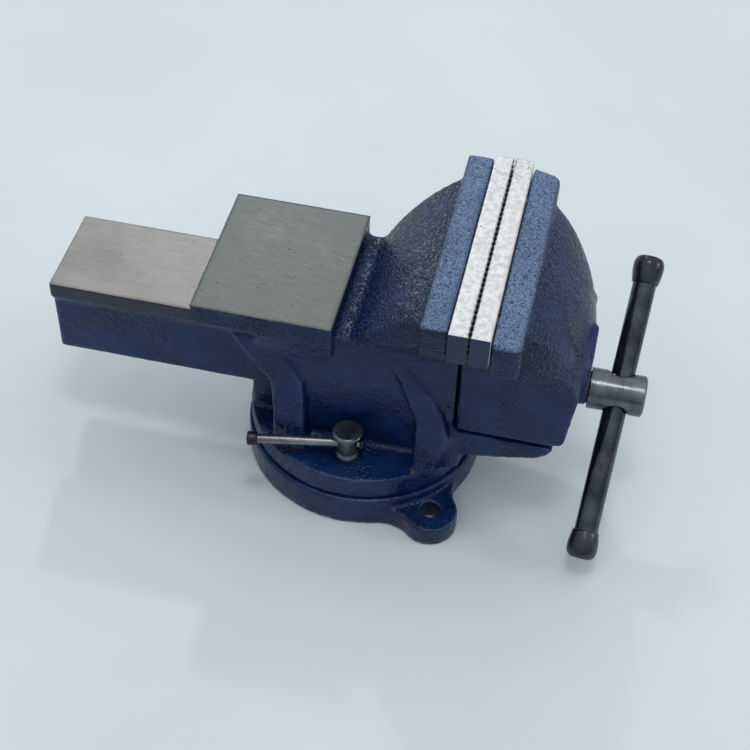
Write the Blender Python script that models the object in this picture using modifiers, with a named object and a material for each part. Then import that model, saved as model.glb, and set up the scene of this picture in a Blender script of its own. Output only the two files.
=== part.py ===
"""A six-inch bench vise on a swivel base, as separate pieces in their working places.

Metres, +Z up. +X runs along the clamping screw towards its handle, +Y to the right of
someone who stands at the handle, and the origin is on the swivel axis at the bench top.
"""

import math

import bmesh
import bpy
from mathutils import Matrix, Vector

# Fits
GAP = 0.0003                    # between pieces that touch, and round every pin in its hole
SLIDE_CLEARANCE = 0.0003        # between the slide and its tunnel

# Jaws
JAW_WIDTH = 0.150
JAW_TOP = 0.1774                # jaw tops above the bench
JAW_LINE_X = 0.0677             # where the closed jaws meet
PLATE_THICKNESS = 0.0111
PLATE_HEIGHT = 0.0205
PLATE_SCREW_SPACING = 0.100
PLATE_SCREW_RADIUS = 0.004
PLATE_SCREW_HEAD_RADIUS = 0.0075
PLATE_SCREW_GRIP = 0.012        # thread in the casting
HEAD_OVERHANG = 0.0015          # by which a plate is wider than the casting behind it
FIXED_HEAD_DEPTH = 0.0156
FIXED_HEAD_HEIGHT = 0.0222
MOVING_HEAD_DEPTH = 0.0166
MOVING_HEAD_HEIGHT = 0.0265
MOVING_HEAD_STEP = 0.0024       # top of the moving casting below its plate
MOVING_HEAD_FALL = 0.0040       # further drop of that top towards the handle
MOVING_HEAD_CORNER = 0.004      # radius of its front corners

# Slide
SLIDE_REAR_X = -0.1853
SLIDE_WIDTH = 0.0623
SLIDE_TOP = 0.1158
SLIDE_RAIL_HEIGHT = 0.0118
SLIDE_WEB_STEP = 0.0016
SLIDE_WEB_REAR_STEP = 0.0006
SLIDE_BOTTOM = 0.0620
SLIDE_ROOF = 0.0160
CHANNEL_WIDTH = 0.034

# Body casting
BODY_WIDTH = 0.089
BODY_FOOT_WIDTH = 0.076
BODY_REAR_X = -0.046
RIB_TOP_WIDTH = 0.091
RIB_FOOT_WIDTH = 0.109
RIB_TOP = 0.120
WALL_STRAIGHT_FROM = 0.095      # height where the side walls stop leaning
ANVIL_REAR_X = -0.0927
ANVIL_FRONT_X = -0.0110
ANVIL_WIDTH = 0.0998
ANVIL_TOP = 0.1379
ANVIL_THICKNESS = 0.0150
ANVIL_BRACKET_DEPTH = 0.022
VALLEY_FLOOR = 0.1285
DOME_FOOT_X = 0.0
DOME_FOOT_WIDTH = 0.087
DOME_HEAD_WIDTH = 0.122
DOME_SAGITTA = 0.0036
DOME_WALL = 0.018               # depth of the flared wall below the dome's edge
SHELF_FRONT_X = 0.119
SHELF_WIDTH = 0.088
SHELF_TOP = 0.0668
SHELF_THICKNESS = 0.0180
SHELF_GAP = 0.0019              # under the moving jaw, which hangs on its slide
TROUGH_DEPTH = 0.0062
WEB_WIDTH = 0.0518
WEB_REAR_X = -0.0655

# Moving jaw casting
MOVING_BODY_REAR_X = 0.0612
MOVING_BODY_FRONT_X = 0.1290
MOVING_BODY_WIDTH = 0.088
MOVING_DOME_WIDTH = 0.113        # along its upper edge, at the jaw head
MOVING_DOME_NOSE_WIDTH = 0.044
MOVING_DOME_BOW = 0.0068         # how far its sides bow out in plan
MOVING_DOME_CROWN = 0.0048       # fall from its middle to its edge
MOVING_DOME_FLARE = 0.0030       # by which its skirt stands out below the edge
MOVING_DOME_DEPTH = 0.0400       # from the jaw head's top down to the foot of the skirt
MOVING_WEB_FRONT_X = 0.112
MOVING_DOME_LENGTH = 0.0350
MOVING_DOME_FOOT = 0.114
MOVING_DOME_SAGITTA = 0.0070
PAD_WIDTH = 0.036
PAD_TOP = 0.119
PAD_FRONT_X = 0.1328
CASTING_CLEARANCE = 0.0007      # between the two castings below the closed jaws
FRONT_WALL_X = 0.100            # inner face of the wall that carries the screw

# Swivel base
BASE_RADIUS = 0.0729
BASE_HEIGHT = 0.0214
FLANGE_RADIUS = 0.0710
FLANGE_TOP = 0.0380
SPIGOT_RADIUS = 0.0220
SPIGOT_LENGTH = 0.0116
LUG_ANGLES = (-49.0, 131.0)     # degrees
LUG_HOLE_CIRCLE = 0.0813        # radius of the circle through the lug holes
LUG_RADIUS = 0.0168
LUG_THICKNESS = 0.0145
LUG_HOLE_RADIUS = 0.0055
LUG_ROOT_WIDTH = 0.060
GROOVE_FLOOR = 0.0055
GROOVE_LIP = 0.0065             # thickness of the lips that hold the T-nuts down
GROOVE_NECK_WIDTH = 0.014
GROOVE_WIDTH = 0.024

# Swivel locks
LOCK_CIRCLE = 0.0520            # radius on which the lock bolts stand
LOCK_SHANK_RADIUS = 0.005
LOCK_NECK_RADIUS = 0.0062
LOCK_COLLAR_RADIUS = 0.0073
LOCK_DISC_RADIUS = 0.0090
LOCK_DISC_TOP = 0.0606
LOCK_DISC_THICKNESS = 0.0022
LOCK_LEVER_HEIGHT = 0.0488
LOCK_LEVER_RADIUS = 0.0028
LOCK_LEVER_LONG = 0.0530        # bolt axis to the inner end of the knob
LOCK_LEVER_SHORT = 0.0068       # bolt axis to the inner end of the cap
LOCK_LEVER_ANGLE = 189.7        # degrees, where the left lever points when locked
LOCK_KNOB_RADIUS = 0.0043
LOCK_KNOB_LENGTH = 0.0065
LOCK_CAP_RADIUS = 0.0038
LOCK_CAP_LENGTH = 0.0028
TEE_NUT_WIDTH = 0.021
TEE_NUT_LENGTH = 0.020

# Clamping screw
SCREW_HEIGHT = 0.0782
SCREW_RADIUS = 0.0090
SCREW_REAR_X = -0.160
SCREW_HEAD_RADIUS = SCREW_RADIUS + 0.0032
SCREW_HEAD_FRONT_X = 0.1660
COLLAR_RADIUS = SCREW_RADIUS + 0.0050
COLLAR_LENGTH = 0.0080
COLLAR_REAR_X = 0.0800
COLLAR_PIN_RADIUS = 0.0015
WASHER_THICKNESS = 0.0025
SPRING_WIRE_RADIUS = 0.0010
SPRING_COIL_RADIUS = SCREW_RADIUS + SPRING_WIRE_RADIUS + 0.0015
SPRING_TURNS = 3

# Nut
NUT_LENGTH = 0.045
NUT_WIDTH = 0.032
NUT_TOP = 0.0940
NUT_BOLT_X = 0.029
NUT_BOLT_SPACING = 0.018
NUT_BOLT_RADIUS = 0.003
NUT_BOLT_HEAD_RADIUS = 0.005
NUT_BOLT_HEAD_HEIGHT = 0.005
NUT_BOLT_SEAT = 0.049

# Handle
HANDLE_X = 0.1506
HANDLE_RADIUS = 0.0070
HANDLE_HOLE_RADIUS = HANDLE_RADIUS + 0.0012     # the loose bar leans in it
HANDLE_ANGLE = 50.0             # degrees from upright, leaning to the right
HANDLE_TILT = 3.0               # degrees by which the loose bar leans out at its top
HANDLE_UP = 0.0650              # screw axis to the upper knob
HANDLE_DOWN = 0.0825            # screw axis to the lower knob
HANDLE_STUB_RADIUS = HANDLE_RADIUS - 0.0025
HANDLE_STUB_LENGTH = 0.0110
KNOB_LENGTH = 0.0170
KNOB_RADIUS = 0.0090

# Facets round a full turn
FINE = 48
MEDIUM = 30
COARSE = 16

# Heights and places that follow from the sizes above
TUNNEL_FLOOR = SLIDE_BOTTOM - SLIDE_CLEARANCE
TROUGH_FLOOR = TUNNEL_FLOOR - TROUGH_DEPTH
PLATE_BOTTOM = JAW_TOP - PLATE_HEIGHT
MOVING_BODY_BOTTOM = SHELF_TOP + SHELF_GAP
FIXED_HEAD_FRONT_X = JAW_LINE_X - PLATE_THICKNESS - GAP
FIXED_HEAD_REAR_X = FIXED_HEAD_FRONT_X - FIXED_HEAD_DEPTH
MOVING_HEAD_REAR_X = JAW_LINE_X + PLATE_THICKNESS + 2 * GAP
BODY_FRONT_X = MOVING_BODY_REAR_X - CASTING_CLEARANCE
MOVING_HEAD_FRONT_X = MOVING_HEAD_REAR_X + MOVING_HEAD_DEPTH
PLATE_SCREW_HEIGHT = JAW_TOP - PLATE_HEIGHT / 2
FLANGE_BOTTOM = BASE_HEIGHT + GAP
GROOVE_NECK_FLOOR = BASE_HEIGHT - GROOVE_LIP

# Finishes: colour, roughness, metallic
BLUE_PAINT = ((0.035, 0.060, 0.160), 0.45, 0.0)
BRIGHT_STEEL = ((0.62, 0.62, 0.60), 0.35, 1.0)
DARK_STEEL = ((0.10, 0.10, 0.105), 0.32, 1.0)
PLAIN_STEEL = ((0.42, 0.42, 0.42), 0.40, 1.0)
CAST_IRON = ((0.16, 0.16, 0.16), 0.60, 1.0)
SPRING_STEEL = ((0.28, 0.28, 0.29), 0.35, 1.0)


# Blender helpers

def clear_scene():
    for obj in list(bpy.data.objects):
        bpy.data.objects.remove(obj, do_unlink=True)


def new_collection(name):
    group = bpy.data.collections.new(name)
    bpy.context.scene.collection.children.link(group)
    return group


def link(name, mesh, group):
    obj = bpy.data.objects.new(name, mesh)
    group.objects.link(obj)
    if group is CUTTERS:
        obj.hide_render = True
        obj.display_type = "WIRE"
    return obj


def link_bmesh(name, bm, group):
    mesh = bpy.data.meshes.new(name)
    bm.to_mesh(mesh)
    bm.free()
    return link(name, mesh, group)


def block(name, low, high, group):
    """A box between two opposite corners."""
    bm = bmesh.new()
    bmesh.ops.create_cube(bm, size=1.0)
    low, high = Vector(low), Vector(high)
    bmesh.ops.scale(bm, vec=high - low, verts=bm.verts)
    bmesh.ops.translate(bm, vec=(high + low) / 2, verts=bm.verts)
    return link_bmesh(name, bm, group)


def rod(name, start, end, radius, group, sides=COARSE):
    """A straight cylinder between two points."""
    start, end = Vector(start), Vector(end)
    bm = bmesh.new()
    bmesh.ops.create_cone(
        bm, cap_ends=True, segments=sides, radius1=radius, radius2=radius,
        depth=(end - start).length)
    turn = Vector((0, 0, 1)).rotation_difference(end - start).to_matrix()
    bmesh.ops.rotate(bm, cent=(0, 0, 0), matrix=turn, verts=bm.verts)
    bmesh.ops.translate(bm, vec=(start + end) / 2, verts=bm.verts)
    return link_bmesh(name, bm, group)


def turned(name, profile, group, sides=MEDIUM):
    """A turned piece about local Z, from (radius, height) points listed top to bottom."""
    mesh = bpy.data.meshes.new(name)
    points = [(radius, 0.0, height) for radius, height in profile]
    edges = [(i, i + 1) for i in range(len(points) - 1)]
    mesh.from_pydata(points, edges, [])
    obj = link(name, mesh, group)
    screw = obj.modifiers.new("turn", "SCREW")
    screw.steps = sides
    screw.render_steps = sides
    screw.use_merge_vertices = True
    screw.merge_threshold = 0.00001
    return obj


def outline_prism(name, outline, thickness, place, group):
    """A flat outline given thickness on both sides of its plane, then placed by a matrix."""
    curve = bpy.data.curves.new(name, "CURVE")
    curve.dimensions = "2D"
    curve.fill_mode = "BOTH"
    curve.extrude = thickness / 2
    spline = curve.splines.new("POLY")
    spline.points.add(len(outline) - 1)
    for point, (x, y) in zip(spline.points, outline):
        point.co = (x, y, 0.0, 1.0)
    spline.use_cyclic_u = True
    drawn = link(name, curve, group)
    drawn.matrix_world = place
    return meshed(drawn, group)


def meshed(drawn, group):
    """The mesh object that replaces a curve object, with its caps welded."""
    bpy.context.view_layer.update()
    shown = drawn.evaluated_get(bpy.context.evaluated_depsgraph_get())
    mesh = bpy.data.meshes.new_from_object(shown)
    bm = bmesh.new()
    bm.from_mesh(mesh)
    bmesh.ops.remove_doubles(bm, verts=bm.verts, dist=0.00001)
    bmesh.ops.recalc_face_normals(bm, faces=bm.faces)
    bm.to_mesh(mesh)
    bm.free()
    name = drawn.name
    place = drawn.matrix_world.copy()
    bpy.data.objects.remove(drawn)
    obj = link(name, mesh, group)
    obj.matrix_world = place
    return obj


def side_prism(name, outline, width, group=None):
    """An (x, z) outline, as wide as given and centred on the vise's middle plane."""
    upright = Matrix.Rotation(math.pi / 2, 4, "X")
    return outline_prism(name, outline, width, upright, group or CUTTERS)


def plan_prism(name, outline, bottom, top, group=None):
    """An (x, y) outline between two heights."""
    lift = Matrix.Translation((0, 0, (bottom + top) / 2))
    return outline_prism(name, outline, top - bottom, lift, group or CUTTERS)


def end_prism(name, outline, rear_x, front_x, group=None):
    """A (y, z) outline between two places along the vise."""
    turn = Matrix(((0, 0, 1, (rear_x + front_x) / 2), (1, 0, 0, 0), (0, 1, 0, 0), (0, 0, 0, 1)))
    return outline_prism(name, outline, front_x - rear_x, turn, group or CUTTERS)


def combine(obj, other, operation):
    tool = obj.modifiers.new(operation.lower(), "BOOLEAN")
    tool.operation = operation
    tool.object = other
    tool.solver = "EXACT"


def mirrored(half):
    """An outline closed across the middle plane, from the (x, y) points of its positive side."""
    return half + [(x, -y) for x, y in reversed(half)]


def arc(start, end, sagitta, steps):
    """Points of a circular arc that bows to the left of the line from start to end."""
    start, end = Vector(start), Vector(end)
    chord = end - start
    half = chord.length / 2
    radius = (half * half + sagitta * sagitta) / (2 * sagitta)
    left = Vector((-chord.y, chord.x)).normalized()
    centre = (start + end) / 2 - left * (radius - sagitta)
    sweep = math.asin(half / radius)
    points = []
    for i in range(steps + 1):
        angle = sweep * (1 - 2 * i / steps)
        points.append(centre + radius * (left * math.cos(angle) - chord.normalized() * math.sin(angle)))
    return [(point.x, point.y) for point in points]


def finish(obj, look):
    """Gives a piece its own material, and smooth shading where it is round."""
    colour, roughness, metallic = look
    material = bpy.data.materials.new(obj.name)
    material.use_nodes = True
    shader = material.node_tree.nodes["Principled BSDF"]
    shader.inputs["Base Color"].default_value = (*colour, 1.0)
    shader.inputs["Roughness"].default_value = roughness
    shader.inputs["Metallic"].default_value = metallic
    obj.data.materials.clear()
    obj.data.materials.append(material)
    if isinstance(obj.data, bpy.types.Mesh):
        obj.data.shade_smooth()
        obj.data.set_sharp_from_angle(angle=math.radians(35))
    return obj


def joint_axis(name, place):
    """An empty on a joint's axis."""
    marker = bpy.data.objects.new(name, None)
    marker.empty_display_size = 0.02
    marker.location = place
    PARTS.objects.link(marker)
    return marker


def hang(obj, axis):
    """Parents a piece to its joint's empty without moving the piece."""
    obj.parent = axis
    obj.matrix_parent_inverse = Matrix.Translation(axis.location).inverted()


# Swivel base

def lug_centre(angle):
    turn = math.radians(angle)
    return Vector((math.cos(turn), math.sin(turn), 0)) * LUG_HOLE_CIRCLE


def lug_outline():
    """One lug in plan, pointing along +X, from inside the ring to its round end."""
    steps = 10
    end = []
    for i in range(steps + 1):
        angle = math.pi / 2 * (1 - i / steps)
        end.append((LUG_HOLE_CIRCLE + LUG_RADIUS * math.cos(angle), LUG_RADIUS * math.sin(angle)))
    root_x = math.sqrt(BASE_RADIUS ** 2 - (LUG_ROOT_WIDTH / 2) ** 2)
    root = (root_x, LUG_ROOT_WIDTH / 2)
    hollow = arc(root, end[0], -0.0022, 6)
    inner = [(root_x - 0.012, LUG_ROOT_WIDTH / 2 - 0.004)]
    return mirrored(inner + hollow[:-1] + end[:-1] + [(LUG_HOLE_CIRCLE + LUG_RADIUS, 0.0)])


def make_swivel_base():
    groove_in = LOCK_CIRCLE - GROOVE_WIDTH / 2
    groove_out = LOCK_CIRCLE + GROOVE_WIDTH / 2
    neck_in = LOCK_CIRCLE - GROOVE_NECK_WIDTH / 2
    neck_out = LOCK_CIRCLE + GROOVE_NECK_WIDTH / 2
    bore = SPIGOT_RADIUS + GAP
    bore_floor = FLANGE_BOTTOM - SPIGOT_LENGTH - GAP
    profile = [
        (0.0, bore_floor), (bore, bore_floor), (bore, BASE_HEIGHT),
        (neck_in, BASE_HEIGHT), (neck_in, GROOVE_NECK_FLOOR), (groove_in, GROOVE_NECK_FLOOR),
        (groove_in, GROOVE_FLOOR), (groove_out, GROOVE_FLOOR), (groove_out, GROOVE_NECK_FLOOR),
        (neck_out, GROOVE_NECK_FLOOR), (neck_out, BASE_HEIGHT),
        (BASE_RADIUS - 0.0008, BASE_HEIGHT), (BASE_RADIUS, BASE_HEIGHT - 0.0008),
        (BASE_RADIUS, 0.0), (0.0, 0.0)]
    base = turned("swivel_base", profile, PARTS, FINE)
    for i, angle in enumerate(LUG_ANGLES):
        lug = plan_prism(f"base_lug_{i}", lug_outline(), 0.0, LUG_THICKNESS)
        lug.matrix_world = Matrix.Rotation(math.radians(angle), 4, "Z") @ lug.matrix_world
        combine(base, lug, "UNION")
    groove = turned("base_groove_clearance", [
        (groove_in, GROOVE_NECK_FLOOR), (groove_out, GROOVE_NECK_FLOOR),
        (groove_out, GROOVE_FLOOR), (groove_in, GROOVE_FLOOR), (groove_in, GROOVE_NECK_FLOOR)],
        CUTTERS, FINE)
    combine(base, groove, "DIFFERENCE")
    for i, angle in enumerate(LUG_ANGLES):
        centre = lug_centre(angle)
        hole = rod(f"base_lug_hole_{i}", centre - Vector((0, 0, 0.01)),
                   centre + Vector((0, 0, 0.03)), LUG_HOLE_RADIUS, CUTTERS)
        combine(base, hole, "DIFFERENCE")
    return finish(base, BLUE_PAINT)


# Body casting

def dome_top():
    """The curve over the fixed jaw's back, from the valley up to the jaw head."""
    return arc((DOME_FOOT_X, VALLEY_FLOOR + 0.002), (FIXED_HEAD_REAR_X + 0.001, JAW_TOP - 0.007),
               DOME_SAGITTA, 8)


def leaning_walls(name, foot_width, top_width, top):
    """The space between two walls that lean outwards or inwards as they rise."""
    foot = FLANGE_TOP - 0.010
    high = JAW_TOP + 0.02
    outline = [(-foot_width / 2, foot), (foot_width / 2, foot), (top_width / 2, top),
               (top_width / 2, high), (-top_width / 2, high), (-top_width / 2, top)]
    return end_prism(name, outline, -0.2, 0.2)


def body_middle():
    """The box round the slide, up to the anvil, the valley and the dome."""
    outline = [
        (BODY_REAR_X, FLANGE_TOP - 0.004), (BODY_REAR_X, 0.064), (-0.0475, 0.085),
        (-0.0620, 0.103), (-0.0790, 0.1245), (-0.0790, 0.131), (ANVIL_FRONT_X - 0.002, 0.131),
        (ANVIL_FRONT_X + 0.002, VALLEY_FLOOR), (DOME_FOOT_X - 0.001, VALLEY_FLOOR)]
    outline += dome_top()
    outline += [(FIXED_HEAD_FRONT_X - 0.002, JAW_TOP - 0.007),
                (FIXED_HEAD_FRONT_X - 0.002, JAW_TOP - FIXED_HEAD_HEIGHT - 0.002),
                (BODY_FRONT_X, JAW_TOP - FIXED_HEAD_HEIGHT - 0.004),
                (BODY_FRONT_X, FLANGE_TOP - 0.004)]
    middle = side_prism("body_middle", outline[::-1], BODY_WIDTH + 0.02, PARTS)
    combine(middle, leaning_walls("body_walls", BODY_FOOT_WIDTH, BODY_WIDTH, WALL_STRAIGHT_FROM),
            "INTERSECT")
    return middle


def body_rib(name, outline):
    """A curved buttress on both sides, which runs down into the round flange."""
    rib = side_prism(name, outline, RIB_FOOT_WIDTH + 0.02)
    combine(rib, leaning_walls(f"{name}_walls", RIB_FOOT_WIDTH, RIB_TOP_WIDTH, RIB_TOP), "INTERSECT")
    combine(rib, round_foot(f"{name}_round"), "INTERSECT")
    return rib


def round_foot(name):
    """A cone that keeps the foot of a buttress just inside the flange's rim."""
    rim = FLANGE_RADIUS - 0.0006
    low = FLANGE_TOP - 0.010
    spread = 0.25               # widening per unit of height
    height = RIB_TOP + 0.01 - low
    profile = [(0, low + height), (rim + spread * (height - 0.010), low + height),
               (rim, FLANGE_TOP), (rim, low), (0, low)]
    return turned(name, profile, CUTTERS, FINE)


def anvil_bracket():
    """The casting that spreads out under the anvil to carry its edges."""
    top = ANVIL_TOP - ANVIL_THICKNESS + 0.001
    low = top - ANVIL_BRACKET_DEPTH
    wide = ANVIL_WIDTH / 2 - 0.0002
    narrow = BODY_WIDTH / 2 - 0.001
    outline = [(-narrow, low), (narrow, low), (wide, top), (-wide, top)]
    return end_prism("anvil_bracket", outline, BODY_REAR_X - 0.010, ANVIL_FRONT_X - 0.0002)


def dome_flare():
    """The wide back of the fixed jaw, whose walls flare towards the jaw head."""
    rear = (DOME_FOOT_X - 0.0005, DOME_FOOT_WIDTH / 2)
    front = (FIXED_HEAD_REAR_X + 0.002, DOME_HEAD_WIDTH / 2)
    plan = mirrored(arc(rear, front, 0.0025, 6)[::-1])
    flare = plan_prism("dome_flare", plan[::-1], VALLEY_FLOOR - 0.002, JAW_TOP)
    low_front = JAW_TOP - 0.007 - DOME_WALL - 0.003
    side = [(DOME_FOOT_X - 0.002, VALLEY_FLOOR - 0.001), (FIXED_HEAD_REAR_X + 0.003, low_front),
            (FIXED_HEAD_REAR_X + 0.003, JAW_TOP - 0.007)]
    side += dome_top()[::-1]
    combine(flare, side_prism("dome_side", side, 0.2), "INTERSECT")
    return flare


def body_shelf():
    """The tongue that reaches forward under the moving jaw."""
    top = SHELF_TOP
    under = top - SHELF_THICKNESS
    outline = [(0.040, under - 0.004), (0.062, under - 0.002), (0.0750, under), (0.0950, under + 0.0035),
               (0.1100, under + 0.0075), (0.1160, under + 0.0115), (SHELF_FRONT_X, under + 0.0160),
               (SHELF_FRONT_X, top), (0.040, top)]
    return side_prism("body_shelf", outline, SHELF_WIDTH)


def shelf_root():
    """The widening where the shelf runs into the front buttress."""
    plan = mirrored([(0.066, SHELF_WIDTH / 2 - 0.0005), (0.0605, 0.0462), (0.052, 0.0475),
                     (0.040, 0.0475)])
    return plan_prism("shelf_root", plan, FLANGE_TOP - 0.002, SHELF_TOP - 0.0006)


def body_core():
    """The pillar between flange and tunnel, with a narrow web to the rear."""
    plan = mirrored([(0.060, 0.033), (0.052, 0.0375), (BODY_REAR_X + 0.002, 0.0375),
                     (BODY_REAR_X + 0.001, WEB_WIDTH / 2), (WEB_REAR_X, WEB_WIDTH / 2)])
    return plan_prism("body_core", plan, FLANGE_TOP - 0.008, TUNNEL_FLOOR + 0.002)


def cut_tunnel(body):
    half = SLIDE_WIDTH / 2 + SLIDE_CLEARANCE
    web = SLIDE_WIDTH / 2 - SLIDE_WEB_STEP + SLIDE_CLEARANCE
    rail_low = SLIDE_TOP - SLIDE_RAIL_HEIGHT - SLIDE_CLEARANCE
    outline = [(-web, TUNNEL_FLOOR), (web, TUNNEL_FLOOR), (web, rail_low), (half, rail_low),
               (half, SLIDE_TOP + SLIDE_CLEARANCE), (-half, SLIDE_TOP + SLIDE_CLEARANCE),
               (-half, rail_low), (-web, rail_low)]
    combine(body, end_prism("tunnel", outline, -0.2, 0.2), "DIFFERENCE")
    trough = NUT_WIDTH / 2 + GAP
    combine(body, block("trough", (-0.2, -trough, TROUGH_FLOOR), (0.2, trough, TUNNEL_FLOOR + 0.01),
                        CUTTERS), "DIFFERENCE")


def plate_screw_places():
    return (-PLATE_SCREW_SPACING / 2, PLATE_SCREW_SPACING / 2)


def nut_bolt_places():
    return (-NUT_BOLT_SPACING / 2, NUT_BOLT_SPACING / 2)


def cut_body_holes(body):
    for i, side in enumerate(("left", "right")):
        y = lock_bolt_y(side)
        hole = rod(f"lock_hole_{side}", (0, y, 0), (0, y, FLANGE_TOP + 0.02),
                   LOCK_SHANK_RADIUS + GAP, CUTTERS)
        combine(body, hole, "DIFFERENCE")
        y = nut_bolt_places()[i]
        seat = rod(f"nut_bolt_seat_{side}", (NUT_BOLT_X, y, 0), (NUT_BOLT_X, y, NUT_BOLT_SEAT),
                   NUT_BOLT_HEAD_RADIUS + 2 * GAP, CUTTERS)
        combine(body, seat, "DIFFERENCE")
        hole = rod(f"nut_bolt_hole_{side}", (NUT_BOLT_X, y, NUT_BOLT_SEAT - 0.005),
                   (NUT_BOLT_X, y, TROUGH_FLOOR + 0.005), NUT_BOLT_RADIUS + GAP, CUTTERS)
        combine(body, hole, "DIFFERENCE")
        y = plate_screw_places()[i]
        hole = rod(f"fixed_screw_hole_{side}",
                   (FIXED_HEAD_FRONT_X - PLATE_SCREW_GRIP - GAP, y, PLATE_SCREW_HEIGHT),
                   (FIXED_HEAD_FRONT_X + 0.005, y, PLATE_SCREW_HEIGHT),
                   PLATE_SCREW_RADIUS + GAP, CUTTERS)
        combine(body, hole, "DIFFERENCE")


def make_body():
    body = body_middle()
    body.name = "vise_body"
    head_half = JAW_WIDTH / 2 - HEAD_OVERHANG
    rear_rib = [(-0.0265, FLANGE_TOP - 0.006), (-0.0265, 0.069), (-0.0285, 0.089), (-0.0370, 0.1030),
                (-0.0480, 0.1160), (-0.0700, 0.1160), (-0.0620, 0.1035), (-0.0475, 0.0855),
                (BODY_REAR_X, 0.064), (BODY_REAR_X, FLANGE_TOP - 0.006)]
    front_rib = [(0.064, FLANGE_TOP - 0.006), (0.0600, 0.062), (0.0540, 0.084), (0.0460, 0.0965),
                 (0.0395, 0.1045), (0.0260, 0.1180), (0.0210, 0.1180), (0.0300, 0.0990),
                 (0.0350, 0.0860), (0.0390, 0.0730), (0.0390, FLANGE_TOP - 0.006)]
    joined = [
        rod("body_flange", (0, 0, FLANGE_BOTTOM), (0, 0, FLANGE_TOP), FLANGE_RADIUS, CUTTERS, FINE),
        rod("body_spigot", (0, 0, FLANGE_BOTTOM - SPIGOT_LENGTH), (0, 0, FLANGE_TOP - 0.005),
            SPIGOT_RADIUS, CUTTERS, MEDIUM),
        body_core(),
        body_rib("rear_rib", rear_rib),
        body_rib("front_rib", front_rib),
        body_shelf(),
        shelf_root(),
        block("anvil", (ANVIL_REAR_X, -ANVIL_WIDTH / 2, ANVIL_TOP - ANVIL_THICKNESS),
              (ANVIL_FRONT_X, ANVIL_WIDTH / 2, ANVIL_TOP), CUTTERS),
        anvil_bracket(),
        dome_flare(),
        block("fixed_head", (FIXED_HEAD_REAR_X, -head_half, JAW_TOP - FIXED_HEAD_HEIGHT),
              (FIXED_HEAD_FRONT_X, head_half, JAW_TOP), CUTTERS),
    ]
    for piece in joined:
        combine(body, piece, "UNION")
    cut_tunnel(body)
    cut_body_holes(body)
    return finish(body, BLUE_PAINT)


# Moving jaw casting

def moving_dome_top():
    """The curve over the moving jaw's front, from the jaw head down to the screw."""
    start = (MOVING_HEAD_FRONT_X - 0.001, JAW_TOP - MOVING_HEAD_STEP - MOVING_HEAD_FALL)
    end = (MOVING_HEAD_FRONT_X + MOVING_DOME_LENGTH, MOVING_DOME_FOOT)
    return arc(start, end, MOVING_DOME_SAGITTA, 10)


def moving_dome():
    """The rounded front of the moving jaw: crowned sections that narrow from the jaw head to the nose."""
    edge = arc((MOVING_HEAD_FRONT_X - 0.001, MOVING_DOME_WIDTH / 2),
               (MOVING_HEAD_FRONT_X + MOVING_DOME_LENGTH, MOVING_DOME_NOSE_WIDTH / 2),
               MOVING_DOME_BOW, 10)
    rear_low = JAW_TOP - MOVING_HEAD_STEP - MOVING_DOME_DEPTH
    front_low = MOVING_DOME_FOOT - MOVING_DOME_CROWN - 0.0035
    bm = bmesh.new()
    sections = []
    for i, ((x, half), (_, top)) in enumerate(zip(edge, moving_dome_top())):
        share = i / (len(edge) - 1)
        low = rear_low + (front_low - rear_low) * share
        rim = top - MOVING_DOME_CROWN
        skirt = half + MOVING_DOME_FLARE * (1 - 0.7 * share)
        wall = (rim - low) * 0.4
        side = [(skirt, low), (skirt, low + wall), (half, rim - 0.0015), (half * 0.965, rim + 0.0006),
                (half * 0.85, top - MOVING_DOME_CROWN * 0.55), (half * 0.6, top - MOVING_DOME_CROWN * 0.2)]
        section = side + [(0.0, top)] + [(-y, z) for y, z in reversed(side)]
        sections.append([bm.verts.new((x, y, z)) for y, z in section])
    for rear, front in zip(sections, sections[1:]):
        for a in range(len(rear)):
            b = (a + 1) % len(rear)
            bm.faces.new((rear[a], rear[b], front[b], front[a]))
    bm.faces.new(sections[0][::-1])
    bm.faces.new(sections[-1])
    bmesh.ops.triangulate(bm, faces=bm.faces)
    bmesh.ops.recalc_face_normals(bm, faces=bm.faces)
    return link_bmesh("moving_dome", bm, CUTTERS)


def moving_lower_body():
    """The block under the moving jaw, which carries the screw."""
    low = MOVING_BODY_BOTTOM
    front = MOVING_BODY_FRONT_X
    outline = [(MOVING_BODY_REAR_X, low), (front - 0.010, low), (front - 0.0045, low + 0.002),
               (front - 0.0026, 0.089), (front - 0.0012, 0.101), (front, 0.1110), (0.1185, 0.1310),
               (MOVING_HEAD_FRONT_X - 0.001, 0.160), (MOVING_HEAD_REAR_X + 0.002, 0.160),
               (MOVING_HEAD_REAR_X + 0.002, 0.146), (MOVING_BODY_REAR_X, 0.146)]
    return side_prism("moving_jaw", outline, MOVING_BODY_WIDTH, PARTS)


def moving_head():
    top = JAW_TOP - MOVING_HEAD_STEP
    low = top - MOVING_HEAD_HEIGHT
    outline = [(MOVING_HEAD_REAR_X, low), (MOVING_HEAD_FRONT_X, low),
               (MOVING_HEAD_FRONT_X, top - MOVING_HEAD_FALL), (MOVING_HEAD_REAR_X, top)]
    width = JAW_WIDTH - 2 * HEAD_OVERHANG - 0.001
    head = side_prism("moving_head", outline, width)
    corner = MOVING_HEAD_CORNER
    front_x = MOVING_HEAD_FRONT_X + 0.0002
    plan = mirrored([(MOVING_HEAD_REAR_X - 0.002, width / 2 + 0.001), (front_x - corner, width / 2 + 0.001)]
                    + arc((front_x - corner, width / 2), (front_x, width / 2 - corner), corner * 0.29, 5))
    combine(head, plan_prism("moving_head_corners", plan, low - 0.01, JAW_TOP), "INTERSECT")
    return head


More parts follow.
